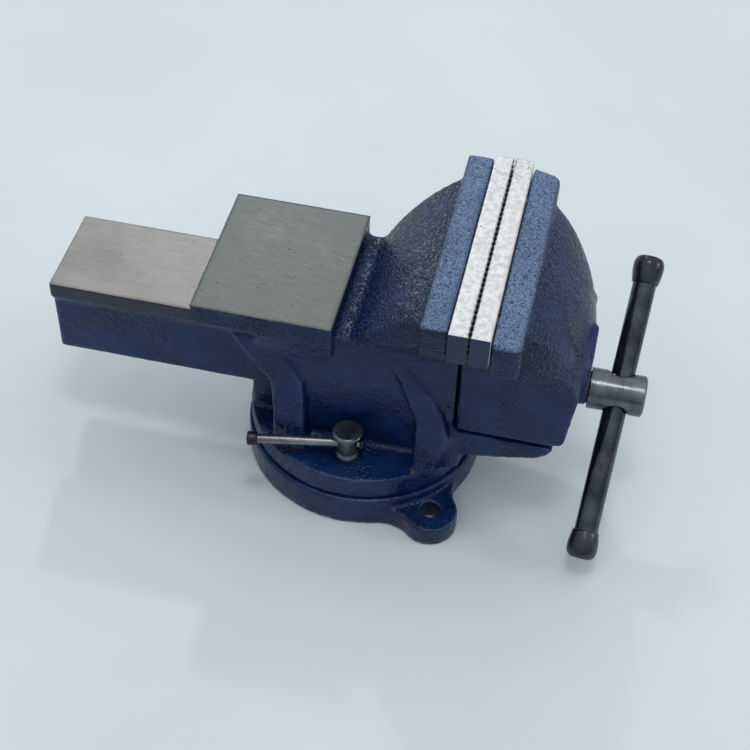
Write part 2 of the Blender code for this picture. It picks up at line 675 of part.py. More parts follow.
def screw_pad():
    """The raised face that the screw's head bears on."""
    half = PAD_WIDTH / 2
    low = MOVING_BODY_BOTTOM + 0.001
    foot = SCREW_HEIGHT + 0.004
    outline = [(-half + 0.011, low), (half - 0.011, low), (half, foot), (half, PAD_TOP - 0.008),
               (half - 0.007, PAD_TOP), (-half + 0.007, PAD_TOP), (-half, PAD_TOP - 0.008),
               (-half, foot)]
    return end_prism("screw_pad", outline, MOVING_BODY_FRONT_X - 0.012, PAD_FRONT_X)


def make_moving_jaw():
    jaw = moving_lower_body()
    half = SLIDE_WIDTH / 2
    rail_low = SLIDE_TOP - SLIDE_RAIL_HEIGHT
    rail = block("slide_rail", (SLIDE_REAR_X, -half, rail_low),
                 (MOVING_BODY_REAR_X + 0.01, half, SLIDE_TOP), CUTTERS)
    web = block("slide_web",
                (SLIDE_REAR_X + SLIDE_WEB_REAR_STEP, -half + SLIDE_WEB_STEP, SLIDE_BOTTOM),
                (MOVING_WEB_FRONT_X, half - SLIDE_WEB_STEP, rail_low + 0.002), CUTTERS)
    for piece in (rail, web, moving_head(), moving_dome(), screw_pad()):
        combine(jaw, piece, "UNION")
    channel = block("slide_channel", (SLIDE_REAR_X - 0.01, -CHANNEL_WIDTH / 2, SLIDE_BOTTOM - 0.01),
                    (FRONT_WALL_X, CHANNEL_WIDTH / 2, SLIDE_TOP - SLIDE_ROOF), CUTTERS)
    bore = rod("screw_bore", (FRONT_WALL_X - 0.01, 0, SCREW_HEIGHT), (PAD_FRONT_X + 0.01, 0, SCREW_HEIGHT),
               SCREW_RADIUS + GAP, CUTTERS, MEDIUM)
    combine(jaw, channel, "DIFFERENCE")
    combine(jaw, bore, "DIFFERENCE")
    for side, y in zip(("left", "right"), plate_screw_places()):
        hole = rod(f"moving_screw_hole_{side}", (MOVING_HEAD_REAR_X - 0.005, y, PLATE_SCREW_HEIGHT),
                   (MOVING_HEAD_REAR_X + PLATE_SCREW_GRIP + GAP, y, PLATE_SCREW_HEIGHT),
                   PLATE_SCREW_RADIUS + GAP, CUTTERS)
        combine(jaw, hole, "DIFFERENCE")
    return finish(jaw, BLUE_PAINT)


# Jaw plates and their screws

def make_jaw_plate(name, back_x, towards):
    """A hardened plate. towards is +1 where its clamping face looks along +X, or -1."""
    face_x = back_x + towards * (PLATE_THICKNESS - GAP / 2)
    low = (min(back_x, face_x), -JAW_WIDTH / 2, PLATE_BOTTOM)
    high = (max(back_x, face_x), JAW_WIDTH / 2, JAW_TOP)
    plate = block(name, low, high, PARTS)
    for side, y in zip(("left", "right"), plate_screw_places()):
        hole = rod(f"{name}_hole_{side}", (back_x - 0.02, y, PLATE_SCREW_HEIGHT),
                   (back_x + 0.02, y, PLATE_SCREW_HEIGHT), PLATE_SCREW_RADIUS + GAP, CUTTERS)
        sink = countersink(f"{name}_sink_{side}", PLATE_SCREW_HEAD_RADIUS + GAP, 0.002)
        sink.matrix_world = facing(face_x, y, PLATE_SCREW_HEIGHT, towards)
        combine(plate, hole, "DIFFERENCE")
        combine(plate, sink, "DIFFERENCE")
    return finish(plate, BRIGHT_STEEL)


def facing(x, y, z, towards):
    """A place whose local Z looks along +X or -X."""
    return Matrix.Translation((x, y, z)) @ Matrix.Rotation(towards * math.pi / 2, 4, "Y")


def countersink(name, radius, above):
    """A cone for a countersunk head, with its wide end at local Z = 0 and room above."""
    depth = radius - PLATE_SCREW_RADIUS
    tip = PLATE_SCREW_RADIUS - 0.001
    return turned(name, [(0, above), (radius, above), (radius, -0.0008),
                         (tip, -0.0008 - depth - 0.001), (0, -0.0008 - depth - 0.001)],
                  CUTTERS, COARSE)


def make_plate_screw(name, back_x, y, towards):
    """A countersunk screw, whose head lies just under the plate's face."""
    head = PLATE_SCREW_HEAD_RADIUS
    neck = -0.0008 - GAP - (head - PLATE_SCREW_RADIUS)
    shank_end = -(PLATE_THICKNESS + PLATE_SCREW_GRIP)
    socket = 0.0025
    profile = [(0, -0.003), (socket, -0.003), (socket, -0.0008), (head - 0.0004, -0.0008),
               (head, -0.0008 - GAP), (PLATE_SCREW_RADIUS, neck),
               (PLATE_SCREW_RADIUS, shank_end + 0.001), (PLATE_SCREW_RADIUS - 0.001, shank_end),
               (0, shank_end)]
    screw = turned(name, profile, PARTS, COARSE)
    face_x = back_x + towards * (PLATE_THICKNESS - GAP / 2)
    screw.matrix_world = facing(face_x, y, PLATE_SCREW_HEIGHT, towards)
    return finish(screw, DARK_STEEL)


# Clamping screw, what holds it in the jaw, and its nut

def along_x(x):
    """A place on the screw's axis whose local Z looks towards the handle."""
    return Matrix.Translation((x, 0, SCREW_HEIGHT)) @ Matrix.Rotation(math.pi / 2, 4, "Y")


def make_screw():
    shoulder = PAD_FRONT_X + GAP
    front = SCREW_HEAD_FRONT_X
    head = SCREW_HEAD_RADIUS
    profile = [(0, front), (head - 0.0015, front), (head, front - 0.0015), (head, shoulder),
               (SCREW_RADIUS, shoulder), (SCREW_RADIUS, COLLAR_REAR_X - 0.003),
               (SCREW_RADIUS - 0.0002, COLLAR_REAR_X - 0.0035),
               (SCREW_RADIUS - 0.0002, SCREW_REAR_X + 0.002),
               (SCREW_RADIUS - 0.0022, SCREW_REAR_X), (0, SCREW_REAR_X)]
    screw = turned("clamping_screw", profile, PARTS)
    screw.matrix_world = along_x(0)
    across = handle_direction(0)
    centre = handle_centre()
    combine(screw, rod("handle_hole", centre - across * 0.03, centre + across * 0.03,
                       HANDLE_HOLE_RADIUS, CUTTERS, MEDIUM), "DIFFERENCE")
    combine(screw, collar_pin_hole("screw_pin_hole"), "DIFFERENCE")
    return finish(screw, PLAIN_STEEL)


def collar_pin_hole(name):
    middle = Vector((COLLAR_REAR_X + COLLAR_LENGTH / 2, 0, SCREW_HEIGHT))
    reach = Vector((0, 0, COLLAR_RADIUS + 0.005))
    return rod(name, middle - reach, middle + reach, COLLAR_PIN_RADIUS + GAP, CUTTERS)


def ring(name, rear_x, length, radius):
    """A plain ring on the screw."""
    bore = SCREW_RADIUS + GAP
    profile = [(bore, length), (radius, length), (radius, 0), (bore, 0), (bore, length)]
    piece = turned(name, profile, PARTS)
    piece.matrix_world = along_x(rear_x)
    return piece


def make_retainers():
    collar = ring("retaining_collar", COLLAR_REAR_X, COLLAR_LENGTH, COLLAR_RADIUS)
    combine(collar, collar_pin_hole("collar_pin_hole"), "DIFFERENCE")
    finish(collar, PLAIN_STEEL)
    middle = Vector((COLLAR_REAR_X + COLLAR_LENGTH / 2, 0, SCREW_HEIGHT))
    reach = Vector((0, 0, COLLAR_RADIUS - 0.0005))
    pin = rod("retaining_pin", middle - reach, middle + reach, COLLAR_PIN_RADIUS, PARTS)
    finish(pin, DARK_STEEL)
    washer_x = FRONT_WALL_X - GAP - WASHER_THICKNESS
    washer = ring("thrust_washer", washer_x, WASHER_THICKNESS, COLLAR_RADIUS - 0.0005)
    finish(washer, PLAIN_STEEL)
    spring = make_spring(COLLAR_REAR_X + COLLAR_LENGTH + GAP, washer_x - GAP)
    return [collar, pin, washer, spring]


def make_spring(rear_x, front_x):
    """A short compression spring between the collar and the washer."""
    steps = 16 * SPRING_TURNS
    first = rear_x + SPRING_WIRE_RADIUS
    travel = front_x - rear_x - 2 * SPRING_WIRE_RADIUS
    curve = bpy.data.curves.new("take_up_spring", "CURVE")
    curve.dimensions = "3D"
    curve.bevel_depth = SPRING_WIRE_RADIUS
    curve.bevel_resolution = 1
    curve.use_fill_caps = True
    spline = curve.splines.new("POLY")
    spline.points.add(steps)
    for i, point in enumerate(spline.points):
        angle = 2 * math.pi * SPRING_TURNS * i / steps
        point.co = (first + travel * i / steps, SPRING_COIL_RADIUS * math.cos(angle),
                    SCREW_HEIGHT + SPRING_COIL_RADIUS * math.sin(angle), 1.0)
    return finish(meshed(link("take_up_spring", curve, PARTS), PARTS), SPRING_STEEL)


def make_nut():
    half = NUT_WIDTH / 2
    nut = block("screw_nut", (0, -half, TROUGH_FLOOR + GAP), (NUT_LENGTH, half, NUT_TOP), PARTS)
    bore = rod("nut_bore", (-0.01, 0, SCREW_HEIGHT), (NUT_LENGTH + 0.01, 0, SCREW_HEIGHT),
               SCREW_RADIUS + GAP, CUTTERS, MEDIUM)
    combine(nut, bore, "DIFFERENCE")
    for side, y in zip(("left", "right"), nut_bolt_places()):
        hole = rod(f"nut_thread_{side}", (NUT_BOLT_X, y, TROUGH_FLOOR - 0.01),
                   (NUT_BOLT_X, y, nut_bolt_top() + GAP), NUT_BOLT_RADIUS + GAP, CUTTERS)
        combine(nut, hole, "DIFFERENCE")
    return finish(nut, CAST_IRON)


def nut_bolt_top():
    """The bolts stop short of the screw's bore."""
    return SCREW_HEIGHT - SCREW_RADIUS - GAP - 0.0025


def make_nut_bolt(name, y):
    seat = NUT_BOLT_SEAT - GAP
    low = seat - NUT_BOLT_HEAD_HEIGHT
    radius = NUT_BOLT_RADIUS
    head = NUT_BOLT_HEAD_RADIUS
    profile = [(0, nut_bolt_top()), (radius, nut_bolt_top()), (radius, seat), (head, seat),
               (head, low + 0.0005), (head - 0.0005, low), (0.0022, low), (0.0022, low + 0.003),
               (0, low + 0.003)]
    bolt = turned(name, profile, PARTS, COARSE)
    bolt.location = (NUT_BOLT_X, y, 0)
    return finish(bolt, DARK_STEEL)


# Handle

def handle_direction(tilt):
    """Along the bar, towards its upper end."""
    lean = math.radians(HANDLE_ANGLE)
    out = math.radians(tilt)
    return Vector((math.sin(out), math.cos(out) * math.sin(lean), math.cos(out) * math.cos(lean)))


def handle_centre():
    return Vector((HANDLE_X, 0, SCREW_HEIGHT))


def along_handle():
    """The handle's own frame: origin on the screw's axis, local Z up the bar."""
    direction = handle_direction(HANDLE_TILT)
    turn = Vector((0, 0, 1)).rotation_difference(direction).to_matrix().to_4x4()
    return Matrix.Translation(handle_centre()) @ turn


def make_handle_bar():
    stub = HANDLE_STUB_RADIUS
    radius = HANDLE_RADIUS
    up, down = HANDLE_UP, -HANDLE_DOWN
    profile = [(0, up + HANDLE_STUB_LENGTH), (stub, up + HANDLE_STUB_LENGTH), (stub, up),
               (radius, up), (radius, down), (stub, down), (stub, down - HANDLE_STUB_LENGTH),
               (0, down - HANDLE_STUB_LENGTH)]
    bar = turned("handle_bar", profile, PARTS)
    bar.matrix_world = along_handle()
    return finish(bar, DARK_STEEL)


def make_handle_knob(name, inner, outwards):
    """A barrel-shaped end pressed on the bar's stub. outwards is +1 up the bar, or -1."""
    bore = HANDLE_STUB_RADIUS + GAP
    depth = HANDLE_STUB_LENGTH + GAP
    end = KNOB_LENGTH
    low = GAP
    profile = [(0, end), (KNOB_RADIUS * 0.62, end), (KNOB_RADIUS * 0.90, end - 0.0016),
               (KNOB_RADIUS, end - 0.0050), (KNOB_RADIUS, end - 0.0085),
               (KNOB_RADIUS * 0.86, low + 0.0012), (KNOB_RADIUS * 0.80, low), (bore, low),
               (bore, depth), (0, depth)]
    knob = turned(name, profile, PARTS)
    flip = Matrix.Identity(4) if outwards > 0 else Matrix.Rotation(math.pi, 4, "X")
    knob.matrix_world = along_handle() @ Matrix.Translation((0, 0, inner)) @ flip
    return finish(knob, DARK_STEEL)


# Swivel locks

def lock_bolt_y(side):
    return -LOCK_CIRCLE if side == "left" else LOCK_CIRCLE


def lever_frame(side):
    """A lever's own frame: origin on its bolt's axis, local Z towards its knob."""
    angle = math.radians(LOCK_LEVER_ANGLE + (0 if side == "left" else 180))
    direction = Vector((math.cos(angle), math.sin(angle), 0))
    turn = Vector((0, 0, 1)).rotation_difference(direction).to_matrix().to_4x4()
    return Matrix.Translation((0, lock_bolt_y(side), LOCK_LEVER_HEIGHT)) @ turn


def make_lock_bolt(side):
    """A bolt with a mushroom head and a cross hole for its lever."""
    top = LOCK_DISC_TOP
    under = top - LOCK_DISC_THICKNESS
    foot = FLANGE_TOP + GAP
    low = GROOVE_FLOOR + 0.003
    neck = LOCK_NECK_RADIUS
    profile = [(0, top), (LOCK_DISC_RADIUS - 0.0012, top), (LOCK_DISC_RADIUS, top - 0.0008),
               (LOCK_DISC_RADIUS, under), (neck, under - 0.0022), (neck, foot + 0.006),
               (LOCK_COLLAR_RADIUS, foot + 0.003), (LOCK_COLLAR_RADIUS, foot),
               (LOCK_SHANK_RADIUS, foot), (LOCK_SHANK_RADIUS, low + 0.001),
               (LOCK_SHANK_RADIUS - 0.001, low), (0, low)]
    bolt = turned(f"{side}_lock_bolt", profile, PARTS)
    bolt.location = (0, lock_bolt_y(side), 0)
    frame = lever_frame(side)
    hole = rod(f"{side}_lever_hole", frame @ Vector((0, 0, -0.02)), frame @ Vector((0, 0, 0.02)),
               LOCK_LEVER_RADIUS + GAP, CUTTERS)
    combine(bolt, hole, "DIFFERENCE")
    return finish(bolt, DARK_STEEL)


def make_lock_lever(side):
    """A thin bar through the bolt, with a knob on its long end and a cap on its short one."""
    radius = LOCK_LEVER_RADIUS
    stub = radius - 0.0008
    knob_stub = LOCK_KNOB_LENGTH - 0.002
    cap_stub = LOCK_CAP_LENGTH - 0.001
    up, down = LOCK_LEVER_LONG, -LOCK_LEVER_SHORT
    lever = turned(f"{side}_lock_lever", [
        (0, up + knob_stub), (stub, up + knob_stub), (stub, up), (radius, up), (radius, down),
        (stub, down), (stub, down - cap_stub), (0, down - cap_stub)], PARTS, COARSE)
    lever.matrix_world = lever_frame(side)
    knob = turned(f"{side}_lever_knob", lever_end(LOCK_KNOB_RADIUS, LOCK_KNOB_LENGTH, stub, knob_stub),
                  PARTS, COARSE)
    knob.matrix_world = lever_frame(side) @ Matrix.Translation((0, 0, up))
    cap = turned(f"{side}_lever_cap", lever_end(LOCK_CAP_RADIUS, LOCK_CAP_LENGTH, stub, cap_stub),
                 PARTS, COARSE)
    flip = Matrix.Rotation(math.pi, 4, "X")
    cap.matrix_world = lever_frame(side) @ Matrix.Translation((0, 0, down)) @ flip
    finish(lever, PLAIN_STEEL)
    finish(knob, DARK_STEEL)
    finish(cap, DARK_STEEL)
    return [lever, knob, cap]


def lever_end(radius, length, stub, depth):
    """The profile of a small cap with a blind bore for the lever's stub."""
    bore = stub + GAP
    return [(0, length), (radius * 0.7, length), (radius, length * 0.75), (radius, length * 0.3),
            (radius * 0.85, GAP), (bore, GAP), (bore, depth + GAP), (0, depth + GAP)]


def make_tee_nut(side):
    """The nut that rides in the base's groove under a lock bolt."""
    y = lock_bolt_y(side)
    half_x = TEE_NUT_LENGTH / 2
    half_y = TEE_NUT_WIDTH / 2
    neck_half = GROOVE_NECK_WIDTH / 2 - 0.0015
    low = GROOVE_FLOOR + GAP
    shoulder = GROOVE_NECK_FLOOR - GAP
    nut = block(f"{side}_tee_nut", (-half_x, y - half_y, low), (half_x, y + half_y, shoulder), PARTS)
    neck = block(f"{side}_tee_nut_neck", (-neck_half, y - neck_half, shoulder - 0.002),
                 (neck_half, y + neck_half, BASE_HEIGHT - GAP), CUTTERS)
    bore = rod(f"{side}_tee_nut_bore", (0, y, 0), (0, y, BASE_HEIGHT + 0.01),
               LOCK_SHANK_RADIUS + GAP, CUTTERS)
    combine(nut, neck, "UNION")
    combine(nut, bore, "DIFFERENCE")
    return finish(nut, CAST_IRON)


# Assembly

clear_scene()
PARTS = new_collection("bench_vise")
CUTTERS = new_collection("cutters")

swivel_axis = joint_axis("swivel_axis", (0, 0, 0))
slide_axis = joint_axis("jaw_slide_axis", (0, 0, SCREW_HEIGHT))
screw_axis = joint_axis("screw_axis", (PAD_FRONT_X, 0, SCREW_HEIGHT))
handle_axis = joint_axis("handle_axis", handle_centre())

make_swivel_base()

on_body = [make_body()]
on_jaw = [make_moving_jaw()]
fixed_back = FIXED_HEAD_FRONT_X + GAP
moving_back = MOVING_HEAD_REAR_X - GAP
on_body.append(make_jaw_plate("fixed_jaw_plate", fixed_back, 1))
on_jaw.append(make_jaw_plate("moving_jaw_plate", moving_back, -1))
for side, y in zip(("left", "right"), plate_screw_places()):
    on_body.append(make_plate_screw(f"{side}_fixed_plate_screw", fixed_back, y, 1))
    on_jaw.append(make_plate_screw(f"{side}_moving_plate_screw", moving_back, y, -1))

on_body.append(make_nut())
for side, y in zip(("left", "right"), nut_bolt_places()):
    on_body.append(make_nut_bolt(f"{side}_nut_bolt", y))
    on_body.append(make_tee_nut(side))

for piece in on_body:
    hang(piece, swivel_axis)
for piece in on_jaw:
    hang(piece, slide_axis)
for piece in [make_screw()] + make_retainers():
    hang(piece, screw_axis)

hang(make_handle_bar(), handle_axis)
hang(make_handle_knob("upper_handle_knob", HANDLE_UP, 1), handle_axis)
hang(make_handle_knob("lower_handle_knob", -HANDLE_DOWN, -1), handle_axis)

for side in ("left", "right"):
    bolt_axis = joint_axis(f"{side}_lock_axis", (0, lock_bolt_y(side), 0))
    hang(make_lock_bolt(side), bolt_axis)
    for piece in make_lock_lever(side):
        hang(piece, bolt_axis)
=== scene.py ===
import math

import bmesh
import bpy
import numpy as np
from mathutils import Matrix, Vector


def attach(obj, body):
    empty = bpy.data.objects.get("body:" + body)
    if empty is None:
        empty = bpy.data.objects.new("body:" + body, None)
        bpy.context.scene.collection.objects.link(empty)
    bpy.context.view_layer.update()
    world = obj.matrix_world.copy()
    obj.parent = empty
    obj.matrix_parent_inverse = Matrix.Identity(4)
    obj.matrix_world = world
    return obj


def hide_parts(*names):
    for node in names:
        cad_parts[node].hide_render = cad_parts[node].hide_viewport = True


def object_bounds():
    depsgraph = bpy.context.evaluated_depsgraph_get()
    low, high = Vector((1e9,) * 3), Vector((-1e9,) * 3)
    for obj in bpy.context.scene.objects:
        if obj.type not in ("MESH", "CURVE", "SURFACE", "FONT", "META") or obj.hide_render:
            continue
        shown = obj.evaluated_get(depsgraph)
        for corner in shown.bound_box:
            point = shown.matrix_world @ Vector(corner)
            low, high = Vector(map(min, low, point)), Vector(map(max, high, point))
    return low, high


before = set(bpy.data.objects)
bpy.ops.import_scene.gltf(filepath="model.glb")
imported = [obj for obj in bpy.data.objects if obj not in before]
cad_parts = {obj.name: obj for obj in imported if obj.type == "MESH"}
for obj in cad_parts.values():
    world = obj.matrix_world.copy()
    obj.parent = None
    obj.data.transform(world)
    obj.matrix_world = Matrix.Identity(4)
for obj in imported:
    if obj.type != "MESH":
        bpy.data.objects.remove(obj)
cad_low, cad_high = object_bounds()


# ---- Swivel base -----------------------------------------------------------------------
# A round plate of grey cast iron with two lugs for bench bolts. It is sand cast, so its
# skin is slightly lumpy and its corners are soft, and it is sprayed with a thick blue
# gloss enamel. Only its upper face, which the vise turns on, is machined.

def lumps(points, cell, seed):
    """Smooth noise from -1 to 1: random values on a cubic lattice, blended by 3t^2 - 2t^3."""
    place = points / cell + 500.0 + 31.0 * seed
    base = np.floor(place).astype(np.int64)
    share = place - base
    share = share * share * (3 - 2 * share)
    total = np.zeros(len(points))
    for corner in range(8):
        step = np.array([(corner >> axis) & 1 for axis in range(3)])
        lattice = base + step
        key = (lattice[:, 0] * 73856093) ^ (lattice[:, 1] * 19349663) ^ (lattice[:, 2] * 83492791)
        key = (key ^ (key >> 13)) * 1274126177 & 0x7FFFFFFF
        value = ((key >> 7) & 0xFFFF) / 32767.5 - 1.0
        total += value * np.prod(np.where(step, share, 1 - share), axis=1)
    return total


def link_mesh(name, mesh, material):
    """A piece in the scene that shows the mesh in one material."""
    piece = bpy.data.objects.new(name, mesh)
    bpy.context.scene.collection.objects.link(piece)
    mesh.materials.clear()
    mesh.materials.append(material)
    return piece


def dense_mesh(name, node, cell):
    """The CAD node's shape as even quads of about the cell size, its triangles joined first."""
    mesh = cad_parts[node].data.copy()
    bm = bmesh.new()
    bm.from_mesh(mesh)
    bmesh.ops.remove_doubles(bm, verts=bm.verts, dist=0.00001)
    bm.to_mesh(mesh)
    bm.free()
    piece = bpy.data.objects.new(name, mesh)
    bpy.context.scene.collection.objects.link(piece)
    remesh = piece.modifiers.new("even quads", "REMESH")
    remesh.mode = "VOXEL"
    remesh.voxel_size = cell
    bpy.context.view_layer.update()
    shown = piece.evaluated_get(bpy.context.evaluated_depsgraph_get())
    dense = bpy.data.meshes.new_from_object(shown)
    bpy.data.objects.remove(piece)
    dense.name = name
    return dense


def mesh_points(mesh):
    points = np.empty(len(mesh.vertices) * 3)
    mesh.vertices.foreach_get("co", points)
    return points.reshape(-1, 3)


def mesh_normals(mesh):
    normals = np.empty(len(mesh.vertices) * 3)
    mesh.vertex_normals.foreach_get("vector", normals)
    return normals.reshape(-1, 3)


def soften(mesh, passes, free):
    """Each pass moves every point half way to its neighbours' mean, times its freedom, 0 to 1."""
    edges = np.empty(len(mesh.edges) * 2, np.int64)
    mesh.edges.foreach_get("vertices", edges)
    one, other = edges.reshape(-1, 2).T
    points = mesh_points(mesh)
    count = len(points)
    around = np.bincount(one, minlength=count) + np.bincount(other, minlength=count)
    for _ in range(passes):
        mean = np.empty_like(points)
        for axis in range(3):
            mean[:, axis] = (np.bincount(one, points[other, axis], count)
                             + np.bincount(other, points[one, axis], count)) / around
        points += 0.5 * (mean - points) * free[:, None]
    return points


def set_points(mesh, points):
    mesh.vertices.foreach_set("co", points.astype(np.float32).ravel())
    mesh.update()


def set_mask(mesh, name, values):
    mask = mesh.attributes.new(name, "FLOAT", "POINT")
    mask.data.foreach_set("value", values.astype(np.float32))


SOFTENING_PASSES = 5
LUMP_DEPTH = 0.00035


def casting(name, node, cell, machined, material):
    """The CAD node as a sand casting: corners softened, then sunk by 0 to 0.35 mm of slow lumps.

    machined(points) gives 1 where a cutter made the face, which stays true and sharp. How far
    softening sinks each point is kept as the mask "edge", where paint wears thin.
    """
    mesh = dense_mesh(name, node, cell)
    sharp = mesh_points(mesh)
    free = 1.0 - machined(sharp)
    soft = soften(mesh, SOFTENING_PASSES, free)
    set_points(mesh, soft)
    normals = mesh_normals(mesh)
    sunk = np.einsum("ij,ij->i", sharp - soft, normals)
    set_mask(mesh, "edge", np.clip(sunk / 0.0005, 0, 1))
    # The mask "hollow" marks concave corners, where the paint is later darkened as painted shade.
    set_mask(mesh, "hollow", np.clip(-sunk / 0.0005, 0, 1))
    lump = 0.6 * lumps(soft, 0.011, 1) + 0.4 * lumps(soft, 0.0045, 2)
    set_points(mesh, soft - normals * (0.5 * LUMP_DEPTH * (1 + lump) * free)[:, None])
    mesh.polygons.foreach_set("use_smooth", np.ones(len(mesh.polygons), bool))
    return link_mesh(name, mesh, material)


def new_material(name):
    material = bpy.data.materials.new(name)
    material.use_nodes = True
    return material, material.node_tree, material.node_tree.nodes["Principled BSDF"]


def add(tree, kind, inputs=None, **settings):
    """A node whose inputs are linked where the value is a socket, and set otherwise."""
    node = tree.nodes.new(kind)
    for key, value in settings.items():
        setattr(node, key, value)
    for key, value in (inputs or {}).items():
        if isinstance(value, bpy.types.NodeSocket):
            tree.links.new(value, node.inputs[key])
        else:
            node.inputs[key].default_value = value
    return node


def maths(tree, operation, one, other=0.0):
    return add(tree, "ShaderNodeMath", {0: one, 1: other}, operation=operation).outputs[0]


def mixed(tree, factor, one, other):
    """The colour one at factor 0 and the colour other at factor 1."""
    node = add(tree, "ShaderNodeMix", data_type="RGBA")
    for socket, value in ((node.inputs[0], factor), (node.inputs[6], one), (node.inputs[7], other)):
        if isinstance(value, bpy.types.NodeSocket):
            tree.links.new(value, socket)
        else:
            socket.default_value = value
    return node.outputs[2]


def spread(tree, value, low, high, to_low=0.0, to_high=1.0):
    """Value moved from one range to another, held at its ends."""
    return add(tree, "ShaderNodeMapRange", {"Value": value, "From Min": low, "From Max": high,
                                            "To Min": to_low, "To Max": to_high}).outputs[0]


def noise(tree, place, scale, detail=2.0, rough=0.5):
    return add(tree, "ShaderNodeTexNoise", {"Vector": place, "Scale": scale, "Detail": detail,
                                            "Roughness": rough}).outputs["Fac"]


def stretched(tree, place, scale, turn=(0.0, 0.0, 0.0)):
    return add(tree, "ShaderNodeMapping", {"Vector": place, "Scale": scale, "Rotation": turn}).outputs[0]


def object_place(tree):
    return add(tree, "ShaderNodeTexCoord").outputs["Object"]


def new_group(name, inputs, outputs):
    """A shader node group with named value inputs and outputs, and the two ends of its tree."""
    tree = bpy.data.node_groups.new(name, "ShaderNodeTree")
    for key, kind in inputs:
        tree.interface.new_socket(key, in_out="INPUT", socket_type=kind)
    for key, kind in outputs:
        tree.interface.new_socket(key, in_out="OUTPUT", socket_type=kind)
    return tree, tree.nodes.new("NodeGroupInput").outputs, tree.nodes.new("NodeGroupOutput").inputs


def place_group(tree, group, inputs):
    return add(tree, "ShaderNodeGroup", inputs, node_tree=group).outputs


# Paint over a sand casting: beads of about 2 mm where the sand was coarse, finer grit between
# them, and runs of a few centimetres. Coarse is 0 on smooth walls and 1 on leathery faces.
paint_skin, skin_in, skin_out = new_group(
    "paint skin",
    [("Place", "NodeSocketVector"), ("Coarse", "NodeSocketFloat")],
    [("Height", "NodeSocketFloat"), ("Pits", "NodeSocketFloat"), ("Crests", "NodeSocketFloat"),
     ("Runs", "NodeSocketFloat")])
bent = add(paint_skin, "ShaderNodeVectorMath",
           {0: skin_in["Place"],
            1: add(paint_skin, "ShaderNodeVectorMath",
                   {0: add(paint_skin, "ShaderNodeTexNoise", {"Vector": skin_in["Place"], "Scale": 420.0,
                                                              "Detail": 1.0}).outputs["Color"],
                    1: (0.0016, 0.0016, 0.0016)}, operation="MULTIPLY").outputs[0]},
           operation="ADD").outputs[0]
beads = add(paint_skin, "ShaderNodeTexVoronoi", {"Vector": bent, "Scale": 520.0, "Smoothness": 0.20},
            feature="SMOOTH_F1").outputs["Distance"]
grit = noise(paint_skin, skin_in["Place"], 1500.0, 3.0)
swell = noise(paint_skin, skin_in["Place"], 260.0, 2.0)
runs = noise(paint_skin, skin_in["Place"], 45.0, 3.0)
bead_height = spread(paint_skin, beads, 0.10, 0.62, 1.0, 0.0)
coarse_height = maths(paint_skin, "MULTIPLY", bead_height, skin_in["Coarse"])
fine_height = maths(paint_skin, "MULTIPLY", grit, 0.10)
wide_height = maths(paint_skin, "MULTIPLY", swell, 0.55)
height = maths(paint_skin, "ADD", maths(paint_skin, "ADD", coarse_height, fine_height), wide_height)
paint_skin.links.new(height, skin_out["Height"])
pits = maths(paint_skin, "MULTIPLY", spread(paint_skin, bead_height, 0.0, 0.35, 1.0, 0.0), skin_in["Coarse"])
paint_skin.links.new(pits, skin_out["Pits"])
crests = maths(paint_skin, "MULTIPLY", spread(paint_skin, bead_height, 0.62, 0.92), skin_in["Coarse"])
paint_skin.links.new(crests, skin_out["Crests"])
paint_skin.links.new(runs, skin_out["Runs"])

# Fine marks of use and of the cutter: three sets of thin lines, two of them faint and crossed.
tool_marks, marks_in, marks_out = new_group(
    "tool marks",
    [("Place", "NodeSocketVector"), ("Turn", "NodeSocketFloat")],
    [("Lines", "NodeSocketFloat"), ("Scratches", "NodeSocketFloat"), ("Pits", "NodeSocketFloat"),
     ("Cloud", "NodeSocketFloat")])
turned = add(tool_marks, "ShaderNodeVectorRotate", {"Vector": marks_in["Place"], "Angle": marks_in["Turn"]},
             rotation_type="Z_AXIS").outputs[0]
lines = noise(tool_marks, stretched(tool_marks, turned, (70.0, 2600.0, 900.0)), 1.0, 3.0)
cross_one = noise(tool_marks, stretched(tool_marks, marks_in["Place"], (60.0, 4200.0, 60.0), (0, 0, 0.55)), 1.0)
cross_two = noise(tool_marks, stretched(tool_marks, marks_in["Place"], (80.0, 3800.0, 80.0), (0, 0, -0.9)), 1.0)
scratches = maths(tool_marks, "MAXIMUM", spread(tool_marks, cross_one, 0.68, 0.76),
                  spread(tool_marks, cross_two, 0.70, 0.78))
holes = noise(tool_marks, marks_in["Place"], 520.0, 1.0)
tool_marks.links.new(lines, marks_out["Lines"])
tool_marks.links.new(scratches, marks_out["Scratches"])
tool_marks.links.new(spread(tool_marks, holes, 0.76, 0.82), marks_out["Pits"])
tool_marks.links.new(noise(tool_marks, marks_in["Place"], 28.0, 5.0, 0.6), marks_out["Cloud"])

PAINT_DEEP = (0.0012, 0.0130, 0.062, 1.0)
PAINT_LIGHT = (0.0032, 0.0250, 0.108, 1.0)
PAINT_THIN = (0.050, 0.090, 0.19, 1.0)
# Pale blue: a painted sheen of sky light on the jaw heads' tops.
PAINT_TOP_SHEEN = (0.150, 0.235, 0.370, 1.0)
# Lighter purple-blue: a painted highlight on the crests of the paint beads.
PAINT_CREST_HIGHLIGHT = (0.040, 0.100, 0.330, 1.0)
# Near black: painted shade in the pits, the hollows and under the slide's top, and the dark end of the plate
# ends' paint.
DIRT_AND_SHADE = (0.004, 0.006, 0.012, 1.0)


